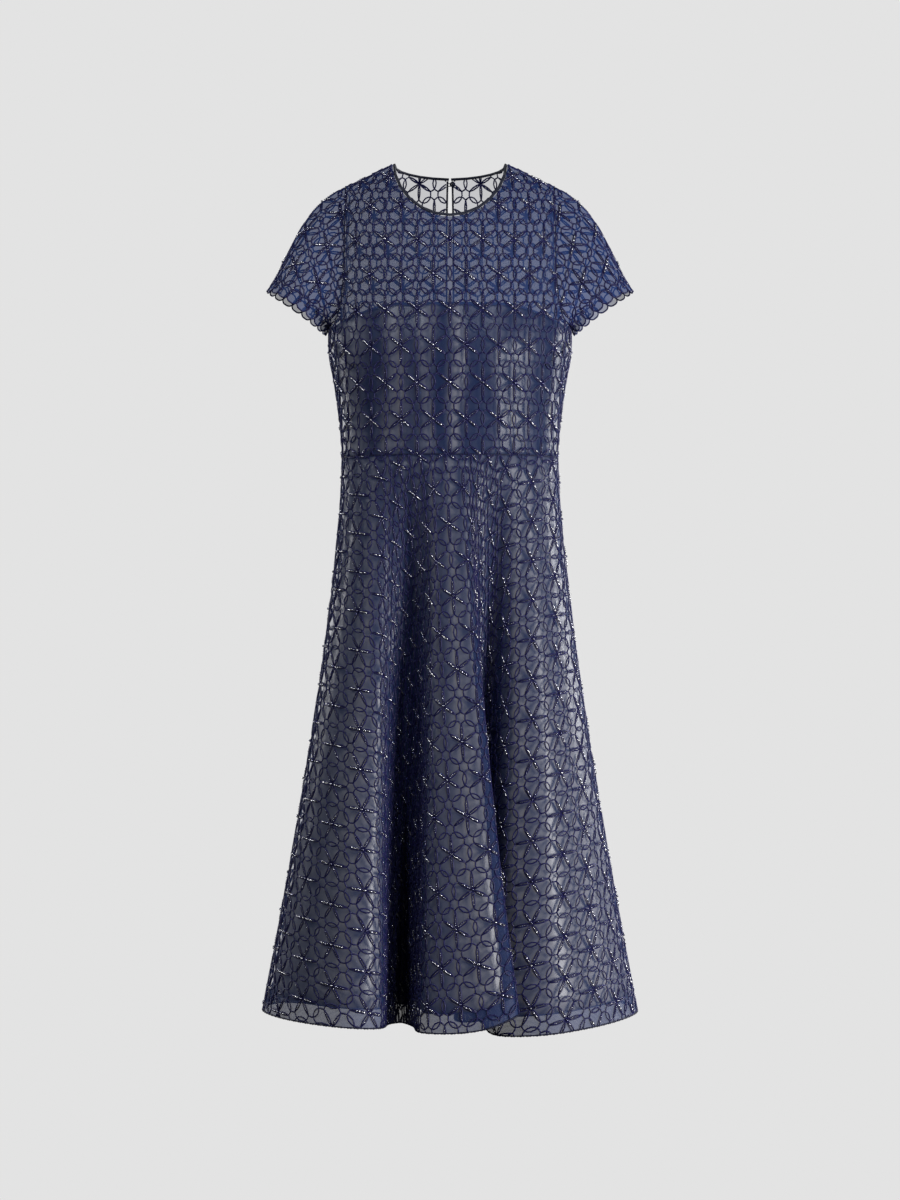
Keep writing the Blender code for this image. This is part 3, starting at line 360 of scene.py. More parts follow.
def half_panel(neck_drop, back):
    """Turns and heights of half a panel. Above the armhole's level each column keeps its share of the way to
    the armhole's edge, moving evenly to where it ends: a quarter ellipse for the neck, then the straight
    shoulder seam. Past the edge the grid repeats the armhole, and that part is not kept."""
    level = armhole_level()
    turns, heights = lower_rows(level, np.linspace(0, 1, BODICE_ROWS + 1)[:-1, None])
    a = np.radians(np.linspace(0, 90, NECK_STEPS + 1))
    t = np.linspace(0, 1, SHOULDER_STEPS + 1)[1:]
    top_across = np.concatenate([NECK_HALF * np.sin(a), between(NECK_HALF, SHOULDER_HALF, t)])
    top_height = np.concatenate([neck_drop * np.cos(a), t * SHOULDER_TIP])
    up = (1 - np.linspace(1, 0, YOKE_ROWS + 1) ** ROW_CROWDING)[:, None]
    low_turns, low_heights = level[0][: INNER + 1], level[1][: INNER + 1]
    upper = between(low_heights, top_height, up)
    low_across = from_table(level[1], 1)[: INNER + 1] * np.sin(np.radians(low_turns))
    share = between(low_across / armhole(ARMHOLE_BEND)[0], top_across / SHOULDER_HALF, up)
    upper_turns = turn_at(share * armhole_edge(upper[:, -1:]), upper)
    past = np.ones((1, UNDERARM_STEPS))
    upper_turns = np.concatenate([upper_turns, upper_turns[:, -1:] * past], axis=1)
    upper = np.concatenate([upper, upper[:, -1:] * past], axis=1)
    upper_turns[0], upper[0] = level
    turns, heights = np.concatenate([turns, upper_turns]), np.concatenate([heights, upper])
    if back:
        slit = np.degrees(np.arcsin(slit_edge(heights) / from_table(heights, 1)))
        inwards = np.clip(1 - np.arange(turns.shape[1]) / NECK_STEPS, 0, 1)
        turns = 180 - (turns + slit * inwards)
    return turns, heights


def grid_normals(points, closed=False):
    """Outward unit normals of a grid: the direction along a row crossed with the direction up a column."""
    if closed:
        along = np.roll(points, -1, 1) - np.roll(points, 1, 1)
    else:
        along = np.gradient(points, axis=1)
    return unit(np.cross(along, np.gradient(points, axis=0)))


def sheet(
    name, node, finish, grid, closed=False, keep=None, tone=None, wall=None
):
    """A hung piece of cloth over a grid, in place of a solid. Keep says which cells are cloth. Its UV is in
    metres of cloth: the mean distance along the rows and up the columns. With a wall it has that thickness
    inwards, and otherwise it is one surface thick."""
    uv = np.stack(np.meshgrid(so_far(grid, 1).mean(0), so_far(grid, 0).mean(1)), axis=-1)
    index = np.arange(grid[..., 0].size).reshape(grid.shape[:2])
    if closed:
        index = np.concatenate([index, index[:, :1]], axis=1)
    quads = np.stack([index[:-1, :-1], index[:-1, 1:], index[1:, 1:], index[1:, :-1]], axis=-1)
    quads = quads.reshape(-1, 4) if keep is None else quads[keep]
    used, faces = np.unique(quads, return_inverse=True)
    tone = None if tone is None else tone.ravel()[used]
    points, uv = grid.reshape(-1, 3)[used], uv.reshape(-1, 2)[used]
    piece = add_mesh(name, points, faces.reshape(-1, 4), finish, uv, tone)
    if wall:
        solid = piece.modifiers.new("wall", "SOLIDIFY")
        solid.thickness = wall
        solid.offset = -1
    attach(piece, "dress")
    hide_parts(node)


def pattern(finish, kind, source, inputs, stretch=(1, 1, 1), slant=0, result="Fac", **settings):
    """A texture read in UV or Object coordinates that are first stretched and then turned about Y."""
    place = add_node(finish, "TexCoord").outputs[source]
    turned = (0, math.radians(slant), 0)
    laid = add_node(finish, "Mapping", {"Vector": place, "Scale": stretch, "Rotation": turned})
    inputs = {"Vector": laid.outputs["Vector"], **inputs}
    return add_node(finish, "Tex" + kind, inputs, **settings).outputs[result]


def feed(finish, socket, output):
    """Link a node's output to a socket of a finish's shader."""
    tree = finish.node_tree
    tree.links.new(output, tree.nodes["Principled BSDF"].inputs[socket])


def tinted(finish, factor, dark, light):
    """Base colour from dark to light, by a factor."""
    feed(finish, "Base Color", shade(finish, factor, dark, light))


def embossed(finish, height, strength, distance, invert=False):
    """Bump from a factor that serves as its height."""
    inputs = {"Height": height, "Strength": strength, "Distance": distance}
    feed(finish, "Normal", add_node(finish, "Bump", inputs, invert=invert).outputs["Normal"])


def net_finish(name, colour, alpha):
    """Fine net: a thin see-through veil whose threads, the edges of small cells, show as a close weave in
    its colour and bump."""
    finish = plain_finish(
        name, colour, 0.6, Alpha=alpha,
        Sheen_Weight=0.9, Sheen_Roughness=0.35, Sheen_Tint=(0.30, 0.42, 0.95, 1),
    )
    holes = pattern(
        finish, "Voronoi", "UV", {"Scale": 900}, result="Distance", feature="DISTANCE_TO_EDGE"
    )
    tinted(finish, holes, dark=[1.25 * c for c in colour], light=[0.8 * c for c in colour])
    embossed(finish, holes, strength=0.25, distance=0.0002, invert=True)
    return finish


tulle_net = net_finish("tulle_net", (0.038, 0.084, 0.30), 0.28)
yoke_net = net_finish("yoke_net", (0.014, 0.038, 0.135), 0.76)

kept_half = np.ones((BODICE_ROWS + YOKE_ROWS, INNER + UNDERARM_STEPS), bool)
kept_half[BODICE_ROWS:, INNER:] = False
front_turns, front_heights = half_panel(NECK_FRONT, False)
sheet(
    "bodice_front_tulle", "bodice_front", tulle_net,
    bodice_surface(mirrored(front_turns, -1), mirrored(front_heights)),
    keep=np.concatenate([kept_half[:, ::-1], kept_half], axis=1),
)
back_turns, back_heights = half_panel(NECK_BACK, True)
for side, way in SIDES:
    sheet(
        f"bodice_back_{side}_tulle", f"bodice_back_{side}", tulle_net,
        bodice_surface(way * back_turns, back_heights)[:, ::-way],
        keep=kept_half[:, ::-way],
    )


def slip_top(turns):
    """Height of the slip's upper edge: level at the centre, dipping towards the sides."""
    dip = np.clip((np.sin(np.radians(turns)) - 0.5) / 0.5, 0, 1)
    return between(SLIP_TOP, SLIP_TOP_SIDE, dip**1.3)


def yoke_grid():
    """The front yoke's second net, just inside the tulle: the panel's columns above the slip's edge."""
    turns, heights = front_turns[:, : INNER + 1], front_heights[:, : INNER + 1]
    rows = np.arange(len(turns))
    edge = slip_top(turns[BODICE_ROWS]) - YOKE_FADE
    start = [np.interp(e, column, rows) for e, column in zip(edge, heights.T)]
    row_numbers = np.broadcast_to(rows[:, None], turns.shape)
    wanted = np.linspace(start, rows[-1], YOKE_NET_ROWS)
    upper = read_off(wanted, row_numbers, np.stack([turns, heights], axis=-1))
    return mirrored(torso(upper[..., 0], upper[..., 1], YOKE_EASE), MIRROR)


sheet(
    "yoke_net_lining", "yoke_lining", yoke_net, yoke_grid(),
)

# ---------------------------------------------------------------- sleeves
# Short sheer sleeves, set into the armholes, with an edge cut round a row of corded rings.

SLEEVE_TIP = np.array([0.256, -0.178])
SLEEVE_INNER = np.array([0.1745, -0.238])
SLEEVE_HALF_DEPTH = 0.055
SLEEVE_HEAD = np.array([1.0, 0, 0])  # way out of the shoulder
SLEEVE_FULLNESS = 1.3
SLEEVE_LIFT = 0.006
EDGE_RINGS = 20
RING_RADIUS = 0.0094
RING_HEIGHT = 0.0088  # of the rings' centres above the sleeve's edge
RING_COLUMNS = 16
SLEEVE_ROWS = 26
# step round the sleeve, rise
SLEEVE_FOLDS = (
    (0.20, 0.0016), (0.31, 0.0020), (0.41, 0.0014), (0.58, 0.0016), (0.69, 0.0022), (0.80, 0.0016),
)
FOLD_WIDTH = 0.02
FOLD_END = 0.85  # share of the sleeve's length where its folds have died away
UPPER_ROWS = np.array([0, 0.06, 0.22, 0.42, 0.62, 0.80, 0.92, 1])


def sleeve_surface(steps, shares):
    """Points of the left sleeve. Steps run once round from the underarm by the front, 0 to 1, and shares
    from the armhole, 0, to the hem, 1. Each line of it is a cubic that leaves the armhole outwards and
    ends square to the tilted oval of the hem."""
    bend = armhole(ARMHOLE_BEND)[1]
    sines = (between(bend, SHOULDER_TIP, UPPER_ROWS) - SHOULDER_TIP) / (UNDERARM - SHOULDER_TIP)
    angles = np.concatenate([np.linspace(90, ARMHOLE_BEND, 5)[:-1], np.degrees(np.arcsin(sines))])
    knots = np.arange(2 * len(angles) - 1) / (2 * len(angles) - 2)
    across, height = armhole(np.interp(steps, knots, np.concatenate([angles, angles[-2::-1]])))
    turns = turn_at(across, height)
    base = torso(np.where(steps > 0.5, 180 - turns, turns), height)
    middle, reach = (SLEEVE_TIP + SLEEVE_INNER) / 2, (SLEEVE_INNER - SLEEVE_TIP) / 2
    cosine, sine = np.cos(2 * math.pi * steps), np.sin(2 * math.pi * steps)
    hem = np.stack([
        middle[0] + cosine * reach[0],
        -SLEEVE_HALF_DEPTH * sine,
        middle[1] + cosine * reach[1] + SLEEVE_LIFT * sine**2,
    ], axis=-1)
    down = np.array([-reach[1], 0, reach[0]]) / np.linalg.norm(reach)
    down *= -np.sign(down[2])
    length = np.linalg.norm(hem - base, axis=-1, keepdims=True)
    start = unit((hem - base) / length + SLEEVE_HEAD)
    fold = sum(rise * np.exp(-(((steps - step) / FOLD_WIDTH) ** 2)) for step, rise in SLEEVE_FOLDS)
    fold = fold * np.sin(math.pi * np.clip(shares / FOLD_END, 0, 1)) ** 2
    away = unit(hem - np.array([middle[0], 0, middle[1]]))
    line = cubic(shares[..., None], base, hem, SLEEVE_FULLNESS * length * start, length * down)
    return fold[..., None] * away + line


def sleeve_lines(columns, rows):
    """The sleeve as a grid with rows from the armhole to the hem, and the length of each line so far."""
    steps, shares = np.meshgrid(np.arange(columns) / columns, np.linspace(0, 1, rows))
    points = sleeve_surface(steps, shares)
    return points, so_far(points, 0)


def sleeve_grid():
    """Rows from the scalloped edge up to the armhole, evenly spaced along each line. The edge follows the
    lower sides of touching rings above the hem line."""
    points, run = sleeve_lines(EDGE_RINGS * RING_COLUMNS, 80)
    hem_run = so_far(np.concatenate([points[-1], points[-1, :1]]), 0)
    pitch = hem_run[-1] / EDGE_RINGS
    from_centre = ((hem_run[:-1] / pitch) % 1 - 0.5) * pitch
    edge = RING_HEIGHT - np.sqrt(np.maximum(RING_RADIUS**2 - from_centre**2, 0))
    wanted = (run[-1] - edge) * np.linspace(1, 0, SLEEVE_ROWS)[:, None]
    beyond = np.maximum(wanted - run[-1], 0)[..., None]
    return read_off(wanted, run, points) + beyond * unit(points[-1] - points[-2])


sleeve_net = net_finish("sleeve_net", (0.020, 0.062, 0.25), 0.62)
left_sleeve = sleeve_grid()
for side, grid in (("left", left_sleeve), ("right", left_sleeve[:, ::-1] * MIRROR)):
    sheet(
        f"sleeve_{side}_tulle", f"sleeve_{side}", sleeve_net, grid,
        closed=True,
    )

# ---------------------------------------------------------------- skirt
# A circle-cut skirt in one front and two backs, sewn to the waist, that stands in deep soft flutes.

SKIRT_LENGTH = 0.7714
CUT_ANGLE = 180.0
FLARE = 0.77
HEM_SOFTNESS = 0.009
WAIST_SOFTNESS = 0.025
RISE_SOFTNESS = 0.012
FINE = 1800  # points in a ring
SKIRT_ROWS = 50
COLUMN_STEP = 4
WAIST_POINTS = 4000
ANY = float("nan")
# The hem seen from above: a row for each flute's crest, side and valley, anticlockwise from the front.
# across, front to back, rise of the hem there, angle on the half-circle cut (ANY: by its length)
FOLDS = np.array([
    (0.018, -0.184, -0.002, 0.0), (0.062, -0.190, 0.008, ANY), (0.096, -0.176, 0.024, 4.3),
    (0.074, -0.152, 0.018, ANY), (0.034, -0.140, 0.006, ANY), (0.008, -0.096, 0.000, ANY),
    (0.018, -0.024, 0.000, ANY), (0.044, -0.082, -0.006, ANY), (0.058, -0.134, -0.013, ANY),
    (0.122, -0.166, -0.008, 24.4), (0.180, -0.146, -0.003, ANY), (0.232, -0.092, 0.000, 32.0),
    (0.262, -0.010, 0.000, ANY), (0.240, 0.058, 0.000, ANY), (0.178, 0.050, 0.000, 44.0),
    (0.186, 0.116, 0.000, ANY), (0.166, 0.152, 0.000, 51.0), (0.138, 0.136, 0.000, ANY),
    (0.122, 0.080, 0.000, 58.0), (0.104, 0.084, 0.000, ANY), (0.104, 0.144, 0.000, ANY),
    (0.078, 0.186, 0.000, 67.0), (0.054, 0.150, 0.000, ANY), (0.052, 0.080, 0.000, 75.0),
    (0.032, 0.078, 0.000, ANY), (0.028, 0.156, 0.000, ANY), (0.000, 0.198, 0.000, 90.0),
    (-0.028, 0.160, 0.000, ANY), (-0.030, 0.082, 0.000, ANY), (-0.052, 0.078, 0.000, 105.0),
    (-0.056, 0.146, 0.000, ANY), (-0.082, 0.184, 0.000, 113.0), (-0.106, 0.146, 0.000, ANY),
    (-0.106, 0.086, 0.000, ANY), (-0.126, 0.078, 0.000, 122.0), (-0.142, 0.136, 0.000, ANY),
    (-0.170, 0.156, 0.000, 129.0), (-0.190, 0.118, 0.000, ANY), (-0.180, 0.048, 0.000, 136.0),
    (-0.240, 0.060, 0.000, ANY), (-0.262, -0.010, 0.002, ANY), (-0.236, -0.090, 0.004, 148.6),
    (-0.186, -0.146, 0.004, ANY), (-0.132, -0.174, 0.003, ANY), (-0.094, -0.160, 0.000, 157.6),
    (-0.084, -0.096, -0.005, ANY), (-0.068, -0.018, -0.016, ANY), (-0.050, -0.096, -0.008, ANY),
    (-0.038, -0.164, -0.005, 176.2),
])
# Shallow folds between the flutes: angle on the cut, half width in degrees, depth.
SKIRT_CREASES = (
    (31, 1.0, 0.0022), (38, 0.9, 0.0018), (20.5, 0.7, 0.0016), (6, 0.5, 0.0012), (63, 0.8, 0.0018),
    (82, 0.9, 0.0018), (98, 0.9, 0.0018), (117, 0.8, 0.0018), (142, 1.0, 0.0020), (153, 0.8, 0.0018),
    (160, 0.7, 0.0016), (177, 0.5, 0.0012),
)


def run_of(ring):
    """Distance in plan along a closed ring to each of its points, and all the way round."""
    return so_far(np.concatenate([ring, ring[:1]])[:, :2], 0)


def at_shares(ring, shares):
    """Points of a closed ring at shares of its length."""
    run = run_of(ring)
    loop = np.concatenate([ring, ring[:1]])
    return np.stack([np.interp(shares * run[-1], run, c) for c in loop.T], axis=1)


def through(corners, steps=90):
    """A closed centripetal Catmull-Rom curve through the corners: straight blends of neighbours, then of
    those blends, then of theirs, with knots the root of the distance apart."""
    pieces = []
    for i in range(len(corners)):
        level = [corners[(i + k) % len(corners)] for k in (-1, 0, 1, 2)]
        gaps = [np.linalg.norm((b - a)[:2]) ** 0.5 for a, b in zip(level, level[1:])]
        knot = np.cumsum([0] + gaps)
        t = np.linspace(knot[1], knot[2], steps, endpoint=False)[:, None]
        spans = (zip(knot, knot[1:]), zip(knot, knot[2:]), [(knot[1], knot[2])])
        for span in spans:
            level = [
                ((last - t) * level[k] + (t - first) * level[k + 1]) / (last - first)
                for k, (first, last) in enumerate(span)
            ]
        pieces.append(level[0])
    return np.concatenate(pieces)


def averaged(values, wide, reach):
    """A closed row with a bell-shaped average taken along it, out to a reach."""
    weights = np.exp(-0.5 * (np.arange(-reach, reach + 1) / wide) ** 2)
    weights /= weights.sum()
    return sum(w * np.roll(values, k - reach, axis=0) for k, w in enumerate(weights))


def softened(ring, spread, length=None):
    """A closed ring averaged over a distance of its run."""
    wide = spread * len(ring) / (length or run_of(ring)[-1])
    return averaged(ring, wide, int(3 * wide) + 1)


def plan_normals(ring):
    """Outward normals of a ring, seen from above."""
    along = unit((np.roll(ring, -1, 0) - np.roll(ring, 1, 0))[:, :2])
    return np.stack([along[:, 1], -along[:, 0]], axis=1)


hem_ring = at_shares(through(FOLDS[:, :3]), np.arange(FINE) / FINE)
hem_run = run_of(hem_ring)
anchors = FOLDS[~np.isnan(FOLDS[:, 3])]
anchor_places = [hem_run[np.argmin(np.linalg.norm(hem_ring[:, :2] - a[:2], axis=1))] for a in anchors]
cut = np.interp(hem_run[:-1], anchor_places + [hem_run[-1]], list(anchors[:, 3]) + [CUT_ANGLE])
waist_turns = np.linspace(0, 360, WAIST_POINTS, endpoint=False)
waist_ring = at_shares(torso(waist_turns, np.full(WAIST_POINTS, WAIST)), cut / CUT_ANGLE)[:, :2]
hem_rise = softened(hem_ring[:, 2], RISE_SOFTNESS, hem_run[-1])
LEFT_SIDE = int(np.argmax(waist_ring[:, 0]))
RIGHT_SIDE = int(np.argmin(waist_ring[:, 0]))
CENTRE_BACK = int(np.argmin(np.abs(cut - CUT_ANGLE / 2)))


def skirt_share(fall):
    return fall * (FLARE + (1 - FLARE) * fall)


def skirt_ring(fall):
    """The skirt at a fall of 0, the waist, to 1, the hem: the waist's oval blended into the fluted hem,
    point by point at the same angle of the cut."""
    share = skirt_share(fall)
    fluted = softened(hem_ring[:, :2], between(WAIST_SOFTNESS, HEM_SOFTNESS, share))
    plan = between(waist_ring, fluted, share)
    return np.column_stack([plan, WAIST - SKIRT_LENGTH * fall + hem_rise * fall**3])


def panel_columns(first, last):
    """Every few points of a ring, from one seam to the next and the seams themselves."""
    last = last if last > first else last + FINE
    return np.unique(np.append(np.arange(first, last, COLUMN_STEP), last)) % FINE


def skirt_creases(falls):
    """Depth of the shallow folds over the rings: a bell round each one's angle, fading at waist and hem."""
    depth = sum(d * np.exp(-(((cut - a) / w) ** 2)) for a, w, d in SKIRT_CREASES)
    return np.sin(math.pi * np.clip(falls, 0, 1))[:, None] ** 1.5 * depth


skirt_falls = np.linspace(1, 0, SKIRT_ROWS)
skirt_rings = np.array([skirt_ring(f) for f in skirt_falls])
skirt_normals = grid_normals(skirt_rings, closed=True)
skirt_rings = skirt_rings - (CLOTH / 2 + skirt_creases(skirt_falls))[..., None] * skirt_normals
# columns, width and area of the flat tulle, length of the hem braid
SKIRT_PANELS = {
    "front": (panel_columns(RIGHT_SIDE, LEFT_SIDE), 1.36, 0.70, 1.59),
    "back_left": (panel_columns(LEFT_SIDE, CENTRE_BACK), 0.70, 0.30, 0.54),
    "back_right": (panel_columns(CENTRE_BACK, RIGHT_SIDE), 0.70, 0.30, 0.54),
}
for part, (columns, width, area, _) in SKIRT_PANELS.items():
    sheet(
        f"skirt_{part}_tulle", f"skirt_{part}", tulle_net, skirt_rings[:, columns],
    )

# ---------------------------------------------------------------- slip
# A strapless slip in soft satin: a bodice cut level at the bust and a flared skirt shorter than the tulle.

SLIP_EASE_WAIST = 0.0029
SLIP_EASE_BUST = 0.0045
SLIP_EASE = 0.006
SLIP_TIP_EASE = 0.032
SLIP_SOFTNESS = 0.006
SLIP_WAIST_SOFTNESS = 0.014
SLIP_LENGTH = 0.970  # share of the skirt's length
SLIP_ROWS = 38
SLIP_FOLD = 0.0042
SLIP_SKIRT_FOLD = 0.0022
SLIP_SKIRT_FOLDS = 34
SATIN_WALL = 0.0006
SLIP_TOP_ROWS = 34
SWAY = 0.004  # of the bodice folds to either side
TIP_SPREAD = 0.004  # distance round the waist over which a flute's bend is taken
TIP_SPREAD_GAIN = 0.014  # what is added to it at the hem
TIGHT_BEND = 0.02  # bend from which a flute's tip is quite tight
# Painted light of the slip's skirt: painted highlight out on the flutes and the wave's crests, painted shade
# in the valleys.
EVEN_PAINTED_LIGHT = 0.42  # of the slip's skirt, on which the flutes and the wave are paler or darker
FLUTE_PAINTED_LIGHT = 1.6  # for each unit of bend
WAVE_PAINTED_LIGHT = 0.35
# Folds of the slip's bodice: across, half width, height of the crest, which also sets its painted highlight
FRONT_CRESTS = (
    (-0.134, 0.015, 1.0), (-0.079, 0.017, 1.0), (-0.034, 0.011, 0.8), (0.007, 0.010, 0.9),
    (0.064, 0.010, 0.3), (0.112, 0.010, 0.05),
)
BACK_CRESTS = (
    (-0.118, 0.012, 0.8), (-0.070, 0.010, 0.6), (-0.026, 0.011, 0.9), (0.022, 0.010, 0.7),
    (0.066, 0.012, 1.0), (0.120, 0.011, 0.7),
)


def own_painted_light(finish):
    """The tone that a mesh holds for each point: its painted shade, highlight or glint."""
    return add_node(finish, "Attribute", attribute_name="tone").outputs["Fac"]


# Soft satin: taupe grey, with a painted highlight along the crests of its folds and painted shade in their
# troughs and in the flutes' valleys, a painted sheen in long faint streaks, the weave's fine vertical lines
# and a broad sheen. How pale is half the painted sheen streaks, plus the tone less a bit.
slip_satin = plain_finish("slip_satin", (0.24, 0.228, 0.215), 0.32, Specular_IOR_Level=0.7)
painted_sheen_streaks = pattern(slip_satin, "Noise", "UV", {"Scale": 1, "Detail": 3}, stretch=(55, 5, 1))
less = add_node(slip_satin, "Math", {0: own_painted_light(slip_satin), 1: 0.29}, operation="SUBTRACT")
pale = {0: painted_sheen_streaks, 1: 0.5, 2: less.outputs[0]}
pale = add_node(slip_satin, "Math", pale, operation="MULTIPLY_ADD").outputs[0]
# From painted shade, dark, to painted highlight, light.
tinted(slip_satin, pale, dark=(0.034, 0.034, 0.037), light=(0.55, 0.525, 0.49))
threads = pattern(slip_satin, "Noise", "UV", {"Scale": 1}, stretch=(1600, 260, 1))
embossed(slip_satin, threads, strength=0.3, distance=0.0002)

level_turns, _ = armhole_level()
up = np.linspace(0, 1, SLIP_TOP_ROWS)[:, None]
slip_turns, slip_heights = lower_rows((level_turns, slip_top(level_turns)), up)
slip_ease = between(SLIP_EASE_WAIST, SLIP_EASE_BUST, np.clip(up / 0.25, 0, 1))


def folded_satin(turns, heights, crests):
    """The slip's bodice with soft upright folds: pushed in everywhere but on bell-shaped crests across the
    panel, most in the middle of its height. Also how near each point is to a crest, which the slip takes as
    its tone: painted highlight on the crests and painted shade in the troughs."""
    across = torso(turns, heights, slip_ease)[..., 0]
    sway = SWAY * np.sin(heights * 31 + 60 * across)
    crest = np.clip(sum(h * np.exp(-(((across + sway - x) / w) ** 2)) for x, w, h in crests), 0, 1)
    depth = SLIP_FOLD * (0.3 + 0.7 * np.sin(math.pi * np.clip(up, 0, 1)) ** 0.7)
    return torso(turns, heights, slip_ease + depth * (1 - crest)), crest


def satin(part, grid, crest):
    """A panel of the slip, with painted highlight on its crests and painted shade off them."""
    name = "slip_" + part
    sheet(name + "_satin", name, slip_satin, grid, tone=crest, wall=SATIN_WALL)


grid, crest = folded_satin(mirrored(slip_turns, -1), mirrored(slip_heights), FRONT_CRESTS)
satin("bodice_front", grid, crest)
for side, way in SIDES:
    grid, crest = folded_satin(way * (180 - slip_turns), slip_heights, BACK_CRESTS)
    satin(f"bodice_back_{side}", grid[:, ::-way], crest[:, ::-way])


def slip_ring(fall):
    """The skirt's ring moved inwards by the slip's ease, and by more where a flute's tip is tight."""
    share = skirt_share(fall)
    ring = skirt_ring(fall)
    facing = plan_normals(ring)
    step = run_of(ring)[-1] / len(ring)
    wide = max(1, int((TIP_SPREAD + TIP_SPREAD_GAIN * share) / step))
    mean = averaged(facing, wide, 3 * wide)
    size = np.linalg.norm(mean, axis=1, keepdims=True)
    bend = averaged(np.roll(facing, -3, 0) - np.roll(facing, 3, 0), wide, 3 * wide)
    ahead = np.column_stack([-facing[:, 1], facing[:, 0]])
    tip = np.clip((bend * ahead).sum(axis=1) / TIGHT_BEND, 0, 1)[:, None]
    ease = between(SLIP_EASE_WAIST, SLIP_EASE, min(1, share / 0.12))
    ring[:, :2] -= (ease + SLIP_TIP_EASE * share * tip * (1 - size)) * mean / np.maximum(size, 0.3)
    if fall > 0:
        ring[:, :2] = softened(ring[:, :2], between(SLIP_WAIST_SOFTNESS, SLIP_SOFTNESS, share))
    return ring


def folded_ring(fall):
    """The slip's ring moved in by a shallow wave round the cut, and its tone, a painted light: high on the
    flutes' crests, low in their valleys as painted shade, higher on the wave."""
    ring = slip_ring(fall)
    round_cut = cut / CUT_ANGLE * 360 * SLIP_SKIRT_FOLDS + 40 * np.sin(5 * fall + cut / 9)
    wave = 0.5 + 0.5 * np.cos(np.radians(round_cut))
    depth = SLIP_SKIRT_FOLD * min(1, 5 * fall) * (1 - wave)
    facing = plan_normals(ring)
    bend = np.cross(np.roll(facing, 20, 0), np.roll(facing, -20, 0))[:, None]
    bend = np.clip(softened(bend, 0.006)[:, 0], -0.4, 0.25)
    ring[:, :2] -= depth[:, None] * facing
    # Painted shade and highlight: darker in the flutes' valleys, paler on their crests and on the wave.
    tone = EVEN_PAINTED_LIGHT + FLUTE_PAINTED_LIGHT * bend * min(1, 2 * fall) + WAVE_PAINTED_LIGHT * (wave - 0.5)
    return ring, np.clip(tone, 0, 1)


rings_and_painted_light = [folded_ring(fall) for fall in np.linspace(SLIP_LENGTH, 0, SLIP_ROWS)]
slip_rings, slip_painted_light = (np.array(rows) for rows in zip(*rings_and_painted_light))
for part, (columns, width, area, _) in SKIRT_PANELS.items():
    satin(f"skirt_{part}", slip_rings[:, columns], slip_painted_light[:, columns])

# ---------------------------------------------------------------- embroidery
# Dark cords couched all over the tulle in six-petal flowers of interlaced loops, on a lattice that keeps
# to the cloth's grain, and in a row of rings along each sleeve's edge.

PITCH = 0.045  # of the flowers along a row
ROW_PITCH = 0.0504
STRETCH = (PITCH, 0.0582)  # a flower's unit across and along the grain
TIP = 0.434  # of a petal from the flower's centre, in units
PETAL_BULGE = 0.075  # height of a petal's side over its length
LOOP_CENTRE = 1 / 3
LOOP_RADIUS = 0.2209
CORD_RADIUS = 0.00108
CORD_LIFT = 0.35  # of a cord's centre line off the cloth, in radii
SIDE_SEAM = 89.7  # turn at which the bodice's cords stop, just short of its side seam
SIDE_DEGREE = 0.003  # metres round the bodice in a degree at its side
CUT_INNER = 0.306  # radii of the skirt's waist and hem as it is cut
CUT_OUTER = 1.096
A_CUT_DEGREE = 0.014  # metres round the cut for a degree, per metre of radius, kept a little short
SLEEVE_REACH = 0.215


def flower_lines():
    """A flower's cords in its own units: (12, 4, 2) petal sides, each a shallow arc from the centre to a tip,
    and (6, 7, 2) loop ends, each an arc from tip to tip round a centre a third of the way to the next
    flower."""
    t = np.linspace(0, 1, 4)[:, None]
    bulge = PETAL_BULGE * 4 * t * (1 - t)
    sides = [
        TIP * (t * ray(tip) + way * bulge * ray(tip + 90)) for tip in range(30, 360, 60) for way in (-1, 1)
    ]
    half_turn = np.degrees(math.atan2(TIP / 2, TIP * math.cos(math.radians(30)) - LOOP_CENTRE))
    spread = np.linspace(-half_turn, half_turn, 7)
    ends = [LOOP_CENTRE * ray(to) + LOOP_RADIUS * ray(to + spread) for to in range(0, 360, 60)]
    return np.array(sides), np.array(ends)


def lattice(low, high, start):
    """Flower centres between two corners of the flat cloth: rows a row pitch apart, every other row moved
    by half a pitch, with one flower at the start."""
    left, bottom = (low - start) / (PITCH, ROW_PITCH)
    right, top = (high - start) / (PITCH, ROW_PITCH)
    rows = np.arange(math.floor(bottom), math.ceil(top) + 1)
    columns = np.arange(math.floor(left) - 1, math.ceil(right) + 2)
    i, j = np.meshgrid(columns, rows)
    across = start[0] + (i + 0.5 * (j % 2)) * PITCH
    return np.stack([across, start[1] + j * ROW_PITCH], axis=-1).reshape(-1, 2)


def looked_up(grid, row, column):
    """Values of a grid at fractional rows and columns: the four nearest, weighted by nearness."""
    r = np.clip(np.floor(row).astype(int), 0, grid.shape[0] - 2)
    c = np.clip(np.floor(column).astype(int), 0, grid.shape[1] - 2)
    s, t = row - r, column - c
    if grid.ndim == 3:
        s, t = s[..., None], t[..., None]
    low = grid[r, c] * (1 - t) + grid[r, c + 1] * t
    return low * (1 - s) + (grid[r + 1, c] * (1 - t) + grid[r + 1, c + 1] * t) * s


def closer(number, gap, slope, most):
    """A row or column number moved on by a gap over a slope, and kept on its grid."""
    return np.clip(number + gap / np.maximum(slope, 1e-4), 0, most)


# Each cut below gives a function from flat points to their places on the worn cloth: points, outward
# normals, and signed distance inside the piece's edges.


